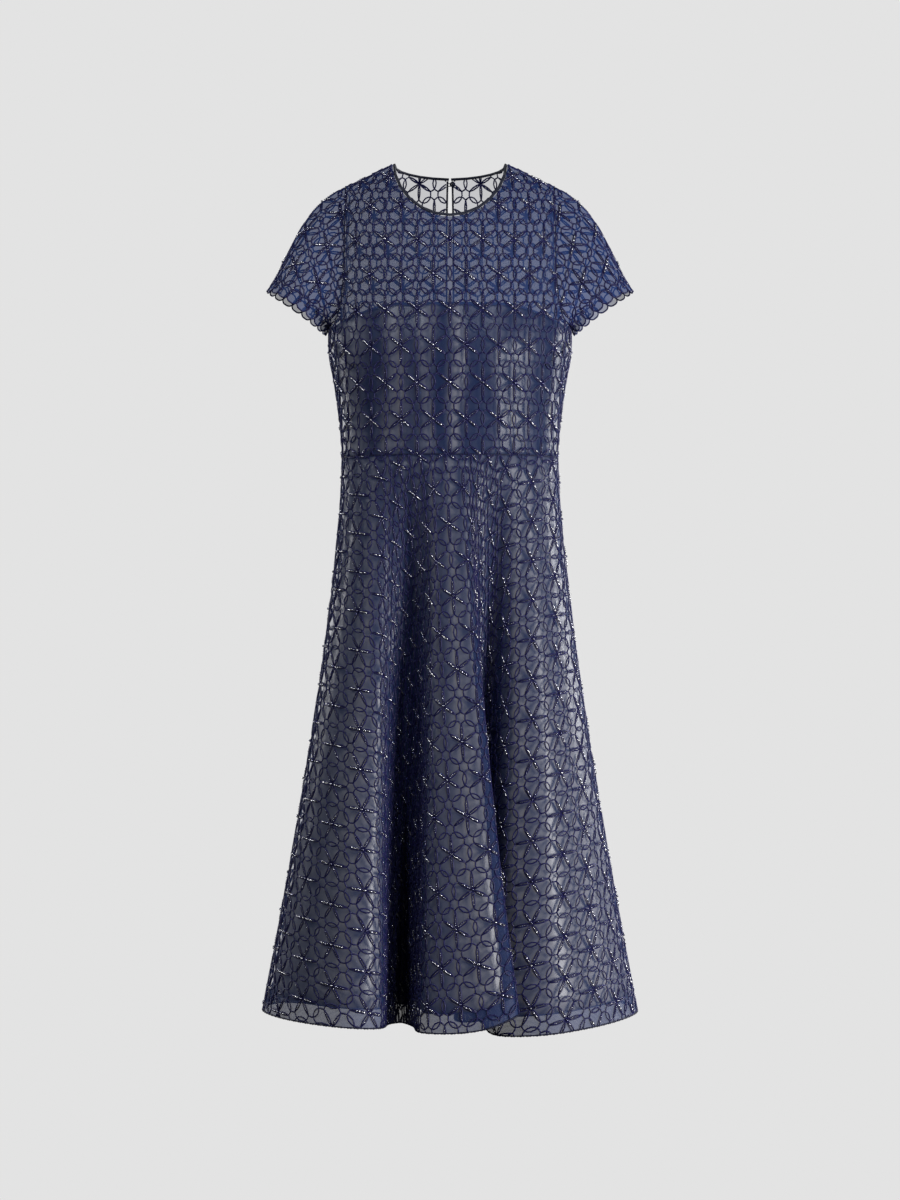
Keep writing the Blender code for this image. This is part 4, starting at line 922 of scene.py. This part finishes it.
def bodice_cut(back):
    """Flat cloth of a bodice: x is the distance round from the centre line, and y the distance up from the
    waist. A grid over one half holds both, and a place is found on it by closing in on it in steps."""
    neck = NECK_BACK if back else NECK_FRONT
    columns, rows, margin = 120, 140, 0.006
    turns, heights = np.linspace(0, 90, columns + 1), np.linspace(WAIST - margin, 0.004, rows + 1)
    turns, heights = np.meshgrid(turns, heights)
    grid = torso(180 - turns if back else turns, heights, CLOTH / 2)
    facing = grid_normals(grid) * (-1 if back else 1)
    x_grid, y_grid = so_far(grid, 1), so_far(grid, 0) - margin
    x_slope, y_slope = np.gradient(x_grid, axis=1), np.gradient(y_grid, axis=0)

    def place(flat):
        x, y = np.abs(flat[..., 0]), flat[..., 1]
        column = x / x_grid[:, -1].mean() * columns
        row = np.clip(y / y_grid[-1].mean() * rows, 0, rows)
        for _ in range(14):
            gap_x, gap_y = x - looked_up(x_grid, row, column), y - looked_up(y_grid, row, column)
            column = closer(column, gap_x, looked_up(x_slope, row, column), columns)
            row = closer(row, gap_y, looked_up(y_slope, row, column), rows)
        points, normals = looked_up(grid, row, column), unit(looked_up(facing, row, column))
        across, height = points[..., 0], points[..., 2]
        edges = [
            (np.hypot(across / NECK_HALF, height / neck) - 1) * abs(neck),
            shoulder_height(across) - height,
            np.where(height > UNDERARM, armhole_edge(height) - across, 1.0),
            (SIDE_SEAM - looked_up(turns, row, column)) * SIDE_DEGREE,
            height - WAIST,
        ]
        if back:
            edges.append(np.where(height > SLIT_END, across - slit_edge(height), across - 0.0002))
        inside = np.min(edges, axis=0) - 3 * np.abs(x - looked_up(x_grid, row, column))
        flip = np.where(flat[..., :1] < 0, MIRROR, 1)
        return points * flip, normals * flip, inside

    return place


def skirt_cut(back):
    """Flat cloth of the skirt, cut from a ring about a point: x anticlockwise seen from above, y down the
    grain. The worn hem is shorter than the cut ring's, so the flowers are drawn together round it, and in
    front most of all in the hidden valleys."""
    seams = sorted((cut[LEFT_SIDE], cut[RIGHT_SIDE]))
    if back:
        first, last = seams
        cut_angles, flat_angles = (40.0, 140.0), (-40.0, 40.0)
    else:
        first, last = seams[1] - CUT_ANGLE, seams[0]
        cut_angles = (-46.0, -22.4, -3.8, 4.3, 17.0, 24.4, 46.0)
        flat_angles = (-45.3, -26.4, -5.0, 1.4, 20.1, 26.0, 43.3)
    rings, facing = (np.concatenate([a[::-1], a[::-1, :1]], axis=1) for a in (skirt_rings, skirt_normals))

    def place(flat):
        radius = np.hypot(flat[..., 0], flat[..., 1])
        fall = (radius - CUT_INNER) / (CUT_OUTER - CUT_INNER)
        angle = np.interp(np.degrees(np.arctan2(flat[..., 0], flat[..., 1])), flat_angles, cut_angles)
        edges = [fall * SKIRT_LENGTH, (1 - fall) * SKIRT_LENGTH - 0.001]
        edges += [(angle - first) * radius * A_CUT_DEGREE, (last - angle) * radius * A_CUT_DEGREE]
        column = np.interp(angle % CUT_ANGLE, np.append(cut, CUT_ANGLE), np.arange(FINE + 1))
        row = np.clip(fall, 0, 1) * (SKIRT_ROWS - 1)
        return looked_up(rings, row, column), unit(looked_up(facing, row, column)), np.min(edges, axis=0)

    return place


def sleeve_cut(way):
    """Flat cloth of a sleeve: x is the distance round it from its outer ridge, forwards on the left one, and
    y the distance up from the hem line. Also the distance round its hem."""
    rows, columns = 70, 240
    points, run = (np.concatenate([a, a[:, :1]], axis=1) for a in sleeve_lines(columns, 60))
    at = run[-1] - np.linspace(0, SLEEVE_REACH, rows)[:, None]
    grid = read_off(at, run, points) + np.minimum(at, 0)[..., None] * unit(points[1] - points[0])
    x_grid = so_far(grid, 1)
    x_grid = x_grid[:, columns // 2, None] - x_grid
    girth = x_grid[0, 0] - x_grid[0, -1]
    x_slope = -np.gradient(x_grid, axis=1)
    facing = grid_normals(np.concatenate([grid[:, -2:-1], grid, grid[:, 1:2]], axis=1))[:, 1:-1]
    flip = np.array([way, 1, 1])

    def place(flat):
        x, y = flat[..., 0] * way, flat[..., 1]
        row = np.clip(y / SLEEVE_REACH, 0, 1) * (rows - 1)
        column = columns / 2 - x / girth * columns
        for _ in range(12):
            gap = looked_up(x_grid, row, column) - x
            column = closer(column, gap, looked_up(x_slope, row, column), columns)
        beyond = np.abs(x - looked_up(x_grid, row, column))
        points, normals = looked_up(grid, row, column), unit(looked_up(facing, row, column))
        total = np.interp(column, np.arange(columns + 1), run[-1])
        inside = np.min([y - RING_HEIGHT, total - y, 0.002 - 2 * beyond], axis=0)
        return points * flip, normals * flip, inside

    return place, girth


def half_of(cloth, way):
    """A cloth on one side of its centre line, so that its cords make a piece of their own."""
    def place(flat):
        points, normals, inside = cloth(flat)
        return points, normals, np.minimum(inside, way * flat[..., 0])

    return place


def wrapped(cloth, girth):
    """A sleeve's cloth joined round at the underarm and with no edges, for the rings along its hem."""
    def place(flat):
        x = (flat[..., 0] + girth / 2) % girth - girth / 2
        points, normals, _ = cloth(np.stack([x, flat[..., 1]], axis=-1))
        return points, normals, np.ones(x.shape)

    return place


def sewn_on(name, points, faces, finish, tone=None):
    """A piece that is sewn to the tulle."""
    piece = add_mesh(name, points, faces.reshape(-1, 3), finish, tone=tone)
    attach(piece, "dress")


def rings_about(path, ahead, out, radius, sides, start=0.0, lifted=0.0):
    """A ring of points about each point of a path: the radius times the cosine across and the sine
    outwards, all lifted by a share of the radius."""
    across = unit(np.cross(ahead, out))[..., None, :]
    lift = np.cross(across[..., 0, :], ahead)[..., None, :]
    turn = (start + 2 * math.pi * np.arange(sides) / sides)[:, None]
    return path[..., None, :] + np.reshape(radius, (-1, 1, 1)) * (
        np.cos(turn) * across + (np.sin(turn) + lifted) * lift
    )


def tube_walls(here, after):
    """Two triangles between each side of a ring and the ring after it, from the rings' point numbers."""
    beside, beyond = np.roll(here, -1, -1), np.roll(after, -1, -1)
    return np.stack([here, beside, beyond, here, beyond, after], axis=-1).reshape(-1, 3)


def tube_ends(first, last):
    """Fans of triangles that close the first and the last rings of tubes."""
    spread = range(1, first.shape[-1] - 1)
    fans = [first[:, [0, k + 1, k]] for k in spread] + [last[:, [0, k, k + 1]] for k in spread]
    return np.concatenate(fans)


def couched(name, lines, cloth, finish):
    """Cords laid along flat lines on a cloth: four-sided tubes with closed ends. A line is cut where it
    crosses the cloth's edge, with its last point moved onto the edge."""
    vertices, faces, total = [], [], 0
    for group in lines:
        group = group.reshape(-1, group.shape[-2], 2)
        inside = cloth(group)[2]
        for step, end in ((1, 0), (-1, -1)):
            near = np.roll(inside, step, axis=1)
            share = np.clip(near / np.maximum(near - inside, 1e-9), 0, 1)[..., None]
            edge = (inside < 0) & (near > 0)
            edge[:, end] = False
            on_edge = np.roll(group, step, axis=1) * (1 - share) + group * share
            group = np.where(edge[..., None], on_edge, group)
            inside = np.where(edge, 1e-6, inside)
        keep = (inside[:, 1:] >= 0) & (inside[:, :-1] >= 0)
        keep &= (inside[:, 1:] > 1e-5) | (inside[:, :-1] > 1e-5)
        group, keep = group[keep.any(axis=1)], keep[keep.any(axis=1)]
        path, out, _ = cloth(group)
        ahead = unit(np.gradient(path, axis=1))
        rings = rings_about(path, ahead, out, CORD_RADIUS, 4, start=math.pi / 2, lifted=CORD_LIFT)
        index = total + np.arange(rings[..., 0].size).reshape(rings.shape[:3])
        total += index.size
        vertices.append(rings.reshape(-1, 3))
        here, after = index[:, :-1], index[:, 1:]
        before, later = np.pad(keep, ((0, 0), (1, 0)))[:, :-1], np.pad(keep, ((0, 0), (0, 1)))[:, 1:]
        faces += [tube_walls(here[keep], after[keep]), tube_ends(here[keep & ~before], after[keep & ~later])]
    used, faces = np.unique(np.concatenate(faces), return_inverse=True)
    sewn_on(name, np.concatenate(vertices)[used], faces, finish)


# Twisted viscose cord: dark navy-violet with a soft sheen, varying a little along its length.
couched_cord = plain_finish(
    "couched_cord", (0.012, 0.012, 0.055), 0.42, Sheen_Weight=0.2, Sheen_Tint=(0.35, 0.38, 0.95, 1)
)
patches = pattern(couched_cord, "Noise", "Object", {"Scale": 900})
tinted(couched_cord, patches, dark=(0.007, 0.007, 0.040), light=(0.030, 0.027, 0.165))

flower = [group * STRETCH for group in flower_lines()]
back_cloth, skirt_cloth, skirt_back_cloth = bodice_cut(True), skirt_cut(False), skirt_cut(True)
sleeve_cloths = {side: sleeve_cut(way) for side, way in SIDES}
# cloth, low corner and high corner of it, one flower's place, and the side of its centre line that is meant
CUTS = {
    "bodice_front": (bodice_cut(False), (-0.27, 0), (0.27, 0.44), (0, 0.0988), 0),
    "bodice_back_left": (back_cloth, (0, 0), (0.27, 0.44), (0, 0.0988), 1),
    "bodice_back_right": (back_cloth, (-0.27, 0), (0, 0.44), (0, 0.0988), -1),
    "sleeve_left": (sleeve_cloths["left"][0], (-0.26, 0), (0.26, 0.21), (0, 0.048), 0),
    "sleeve_right": (sleeve_cloths["right"][0], (-0.26, 0), (0.26, 0.21), (0, 0.048), 0),
    "skirt_front_right": (skirt_cloth, (-0.82, 0.2), (0, 1.1), (0.028, 0), -1),
    "skirt_front_left": (skirt_cloth, (0, 0.2), (0.82, 1.1), (0.028, 0), 1),
    "skirt_back_left": (skirt_back_cloth, (-0.72, 0.2), (0, 1.1), (0, 0.02), -1),
    "skirt_back_right": (skirt_back_cloth, (0, 0.2), (0.72, 1.1), (0, 0.02), 1),
}
LATTICE_MARGIN = 0.03
flowers = {}
for name, (cloth, low, high, start, way) in CUTS.items():
    centres = lattice(np.array(low) - LATTICE_MARGIN, np.array(high) + LATTICE_MARGIN, np.array(start))
    cloth = half_of(cloth, way) if way else cloth
    couched(name + "_cords", [centres[:, None, None] + group for group in flower], cloth, couched_cord)
    flowers[name] = (centres, cloth)

circle = RING_RADIUS * ray(np.linspace(0, 360, 25))
for side, (cloth, girth) in sleeve_cloths.items():
    across = (np.arange(EDGE_RINGS) + 0.5 - EDGE_RINGS / 2) * (girth / EDGE_RINGS)
    centres = np.stack([across, np.full(EDGE_RINGS, RING_HEIGHT)], axis=1)
    couched(f"sleeve_{side}_edge_rings", [centres[:, None] + circle], wrapped(cloth, girth), couched_cord)

# ---------------------------------------------------------------- beads
# Glass beads sewn over the flowers: two bugles out along one pair of petals, rows of seed beads along the
# others, and a round bead at the centre. No two lie quite alike, and each is given a painted glint from dark
# glass to white, so only some of them flash.

BUGLE_RADIUS = 0.00112
SEED_RADIUS = 0.00096
CENTRE_RADIUS = 0.0018
ASKEW = 0.0003  # usual distance of a bead's end from its place
TILT = 0.16  # usual slope of a bead off the cloth

chance = np.random.default_rng(11)


def drum(sides, stations, ends):
    """A closed turned shape along x: (place along, radius) stations, and the places of its two end points."""
    spokes = ray(360 * np.arange(sides) / sides)
    points = [(x, *(r * spoke)) for x, r in stations for spoke in spokes] + [(x, 0, 0) for x in ends]
    index = np.arange(len(stations) * sides).reshape(-1, sides)
    low, high = index[0], index[-1]
    first, last = np.full(sides, len(points) - 2), np.full(sides, len(points) - 1)
    fans = [
        np.column_stack([np.roll(low, -1), low, first]),
        np.column_stack([high, np.roll(high, -1), last]),
    ]
    return np.array(points), np.concatenate([tube_walls(index[:-1], index[1:]), *fans])


def bead_finish(name, dark, light):
    """Lustred glass, from dark to light by each bead's tone: a painted glint."""
    finish = plain_finish(name, light, 0.22, Metallic=0.9)
    tinted(finish, own_painted_light(finish), dark, light)
    return finish


def sewn(name, pairs, centres, cloth, shape, radius, finish, glint_rarity):
    """Beads between pairs of flat points round each flower's centre, standing on the cloth and a little
    askew: the bead's origin plus x, y and z times its three axes. The higher the rarity, the fewer are
    painted pale: each bead's tone is a painted glint."""
    ends = (centres[:, None, None] + pairs).reshape(-1, 2, 2)
    ends = ends + chance.normal(0, ASKEW, ends.shape)
    # A painted glint for each bead: how near to white its colour is painted.
    painted_glint = chance.random(len(ends)) ** glint_rarity
    roll, tilt = chance.uniform(0, 2 * math.pi, len(ends)), chance.normal(0, TILT, (len(ends), 1))
    points, normals, inside = cloth(ends)
    keep = inside.min(axis=1) > 0.001
    points, normals, roll, tilt = points[keep], normals[keep], roll[keep, None], tilt[keep]
    ahead = points[:, 1] - points[:, 0]
    out = unit(normals.mean(axis=1))
    origins = points.mean(axis=1) + (radius + 0.5 * CORD_RADIUS) * out
    length = np.linalg.norm(ahead, axis=1, keepdims=True)
    way = unit(unit(ahead) + tilt * out)
    across = unit(np.cross(way, out))
    turned = np.cos(roll) * across + np.sin(roll) * np.cross(across, way)
    axes = np.stack([length * way, radius * turned, radius * np.cross(turned, way)], axis=1)
    bead, bead_faces = shape
    copies = origins[:, None] + bead @ axes
    faces = bead_faces + len(bead) * np.arange(len(origins))[:, None, None]
    sewn_on(name, copies.reshape(-1, 3), faces, finish, np.repeat(painted_glint[keep], len(bead)))


def rays(angles, distances, length):
    """Pairs of flat points, a bead's length apart, on rays from a flower's centre."""
    return [(r * ray(a), (r + length) * ray(a)) for a in angles for r in distances]


# Painted glints: each bead's colour runs from its dark glass to white by its tone.
bugle_glass = bead_finish("bugle_glass", (0.16, 0.16, 0.34), (1.0, 1.0, 1.0))
seed_glass = bead_finish("seed_glass", (0.06, 0.06, 0.20), (0.98, 0.98, 1.0))
bugle_pairs = rays((141, -39), (0.0044, 0.0098), 0.0048)
seed_pairs = rays((90, -90), np.arange(0.0042, 0.0195, 0.0030), 0.0014)
seed_pairs += rays((39, 219), np.arange(0.0042, 0.0135, 0.0029), 0.0014)
# pairs of points, shape, radius, finish, rarity of the painted glints
BEADS = {
    "_bugles": (bugle_pairs, drum(5, ((-0.46, 1), (0.46, 1)), (-0.5, 0.5)), BUGLE_RADIUS, bugle_glass, 0.5),
    "_seeds": (seed_pairs, drum(4, ((0, 1),), (-0.6, 0.6)), SEED_RADIUS, seed_glass, 1.5),
    "_centres": (
        [((-0.0016, 0), (0.0016, 0))], drum(6, ((-0.3, 0.85), (0.3, 0.85)), (-0.5, 0.5)),
        CENTRE_RADIUS, bugle_glass, 1.2,
    ),
}
for name, (centres, cloth) in flowers.items():
    upward = (1, -1) if name.startswith("skirt") else (1, 1)
    for kind, (pairs, *rest) in BEADS.items():
        sewn(name + kind, np.array(pairs) * upward, centres, cloth, *rest)

# ---------------------------------------------------------------- seams
# French seams in navy thread at the waist, sides, shoulders, armholes, darts and centre back, and the
# overcast cord round the hem.

SEAM_RADIUS = 0.0007
WAIST_SEAM_RADIUS = 0.0011
ARMHOLE_SEAM_RADIUS = 0.0009
HEM_CORD_RADIUS = 0.0012
HEM_BUMPS = ((0.0046, 0.3), (0.0117, 0.15))  # of the hem's overcasting: distance apart, height in radii
SEAM_SIDES = 5
ARMHOLE_STEPS = 120
DART = ((84, -0.243), (53, -0.287))  # turn and height of the wearer's left dart, side seam to bust
DART_DROP = 0.004  # of the right one


def tubes(name, paths, finish):
    """Round tubes along paths, each (points, outward normals, radius, closed), as one piece."""
    vertices, faces, total = [], [], 0
    for path, out, radius, closed in paths:
        if closed:
            ahead = unit(np.roll(path, -1, 0) - np.roll(path, 1, 0))
        else:
            ahead = unit(np.gradient(path, axis=0))
        rings = rings_about(path, ahead, out, radius, SEAM_SIDES)
        index = total + np.arange(len(path) * SEAM_SIDES).reshape(-1, SEAM_SIDES)
        total += index.size
        vertices.append(rings.reshape(-1, 3))
        if closed:
            faces.append(tube_walls(index, np.roll(index, -1, 0)))
        else:
            faces += [tube_walls(index[:-1], index[1:]), tube_ends(index[:1], index[-1:])]
    sewn_on(name, np.concatenate(vertices), np.concatenate(faces), finish)


# Navy thread: two tones in fine patches, with a bump of the same size.
seam_thread = plain_finish("seam_thread", (0.004, 0.005, 0.020), 0.6)
patches = pattern(seam_thread, "Noise", "Object", {"Scale": 1400})
tinted(seam_thread, patches, dark=(0.004, 0.005, 0.020), light=(0.020, 0.022, 0.080))
embossed(seam_thread, patches, strength=0.5, distance=0.0003)


def on_torso(turns, heights):
    """(points, normals) of a line on the worn bodice, its normals level."""
    turns, heights = np.broadcast_arrays(np.asarray(turns, float), heights)
    points = bodice_surface(turns, heights)
    beyond = bodice_surface(turns, heights, CLOTH / 2 - 0.002)
    return points, unit(beyond - points + 1e-9)


bodice_lines = [(*on_torso(np.arange(0, 360, 1.5), WAIST), WAIST_SEAM_RADIUS, True)]
for turn, top in ((90, UNDERARM), (-90, UNDERARM), (180, SLIT_END)):
    bodice_lines.append((*on_torso(turn, np.linspace(WAIST, top, 30)), SEAM_RADIUS, False))
dart_turns, dart_heights = between(*np.array(DART)[..., None], np.linspace(0, 1, 16))
for way, drop in ((1, 0), (-1, DART_DROP)):
    bodice_lines.append((*on_torso(way * dart_turns, dart_heights - drop), SEAM_RADIUS, False))
across = np.linspace(NECK_HALF, SHOULDER_HALF, 14)
for way in (1, -1):
    ridge = np.column_stack([way * across, 0 * across, shoulder_height(across)])
    bodice_lines.append((ridge, np.tile([0.0, 0.0, 1.0], (14, 1)), SEAM_RADIUS, False))
tubes("bodice_seams", bodice_lines, seam_thread)

armhole_steps = np.linspace(0, 1, ARMHOLE_STEPS, endpoint=False)
line = sleeve_surface(armhole_steps, np.zeros(ARMHOLE_STEPS))
out = unit(sleeve_surface(armhole_steps, np.full(ARMHOLE_STEPS, 0.02)) - line)
armhole_lines = [(line * flip, out * flip, ARMHOLE_SEAM_RADIUS, True) for flip in (1, MIRROR)]
tubes("armhole_seams", armhole_lines, seam_thread)

skirt_lines = [
    (skirt_rings[::-1, k], skirt_normals[::-1, k], SEAM_RADIUS, False)
    for k in (LEFT_SIDE, RIGHT_SIDE, CENTRE_BACK)
]
bumps = 1 + sum(height * np.sin(2 * math.pi * hem_run[:-1] / apart) for apart, height in HEM_BUMPS)
skirt_lines.append((skirt_rings[0], skirt_normals[0], HEM_CORD_RADIUS * bumps, True))
tubes("skirt_seams_and_hem_cord", skirt_lines, seam_thread)

# ---------------------------------------------------------------- hem braid
# Sheer ribbed braid of stiff fine filaments, sewn inside the hem to hold the flutes out.

BRAID_HEIGHT = 0.0262
BRAID_INSET = 0.0018
RIB_PITCH = 0.0016
BAND = 2 * math.pi / 20  # a wave texture's scale for bands a metre apart


def ranged(finish, factor, socket, low, high):
    """A socket of the shader that goes from low to high with a factor."""
    span = add_node(finish, "MapRange", {"Value": factor, "To Min": low, "To Max": high})
    feed(finish, socket, span.outputs["Result"])


# Fine filaments with ribs along the hem: a band pattern up the braid sets bump, tone and how much shows
# through.
hem_braid = plain_finish("hem_braid", (0.05, 0.06, 0.13), 0.42)
along_hem = {"Scale": BAND / RIB_PITCH, "Distortion": 0.4}
ribs = pattern(hem_braid, "Wave", "UV", along_hem, bands_direction="Y")
tinted(hem_braid, ribs, dark=(0.022, 0.030, 0.085), light=(0.085, 0.098, 0.19))
ranged(hem_braid, ribs, "Alpha", 0.66, 0.92)
embossed(hem_braid, ribs, strength=0.6, distance=0.0003)

braid_rings = np.array([skirt_ring(f) for f in np.linspace(1, 1 - BRAID_HEIGHT / SKIRT_LENGTH, 5)])
braid_rings = braid_rings - (CLOTH / 2 + BRAID_INSET) * grid_normals(braid_rings, closed=True)
for part, (columns, _, _, length) in SKIRT_PANELS.items():
    sheet(
        f"hem_braid_{part}", f"hem_band_{part}", hem_braid, braid_rings[:, columns],
    )

# ---------------------------------------------------------------- bindings and fastenings
# Bias binding in navy satin round the neck and down the slit, a covered button with its thread loop at the
# nape, and a concealed zip with a gunmetal slider and pull.

THREAD_PITCH = 0.0007


def binding_finish(name, dark, light, slant, roughness):
    """Narrow woven cloth: bands across its threads at a slant give the weave, and noise its worn tone."""
    finish = plain_finish(name, dark, roughness, Sheen_Weight=0.3)
    across = {"Scale": BAND / THREAD_PITCH, "Distortion": 1}
    tinted(finish, pattern(finish, "Noise", "Object", {"Scale": 220}), dark, light)
    embossed(finish, pattern(finish, "Wave", "Object", across, slant=slant), strength=0.5, distance=0.0002)
    return finish


bias_satin = binding_finish("bias_satin", (0.006, 0.008, 0.022), (0.022, 0.026, 0.062), 45, 0.45)
zip_tape_weave = binding_finish("zip_tape_weave", (0.008, 0.010, 0.030), (0.022, 0.026, 0.070), 0, 0.7)

# Gunmetal with fine scratches and paler, duller worn patches.
gunmetal = plain_finish("gunmetal", (0.10, 0.10, 0.12), 0.32, Metallic=1.0)
scratches = pattern(gunmetal, "Noise", "Object", {"Scale": 700, "Detail": 4})
tinted(gunmetal, scratches, dark=(0.055, 0.057, 0.070), light=(0.22, 0.22, 0.25))
ranged(gunmetal, scratches, "Roughness", 0.22, 0.5)

FITTINGS = {
    "neck_binding": bias_satin,
    "slit_binding_left": bias_satin,
    "slit_binding_right": bias_satin,
    "nape_button": bias_satin,
    "nape_loop": seam_thread,
    "zip_tape": zip_tape_weave,
    "zip_slider": gunmetal,
    "zip_pull": gunmetal,
}
for node, finish in FITTINGS.items():
    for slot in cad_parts[node].material_slots:
        slot.material = finish
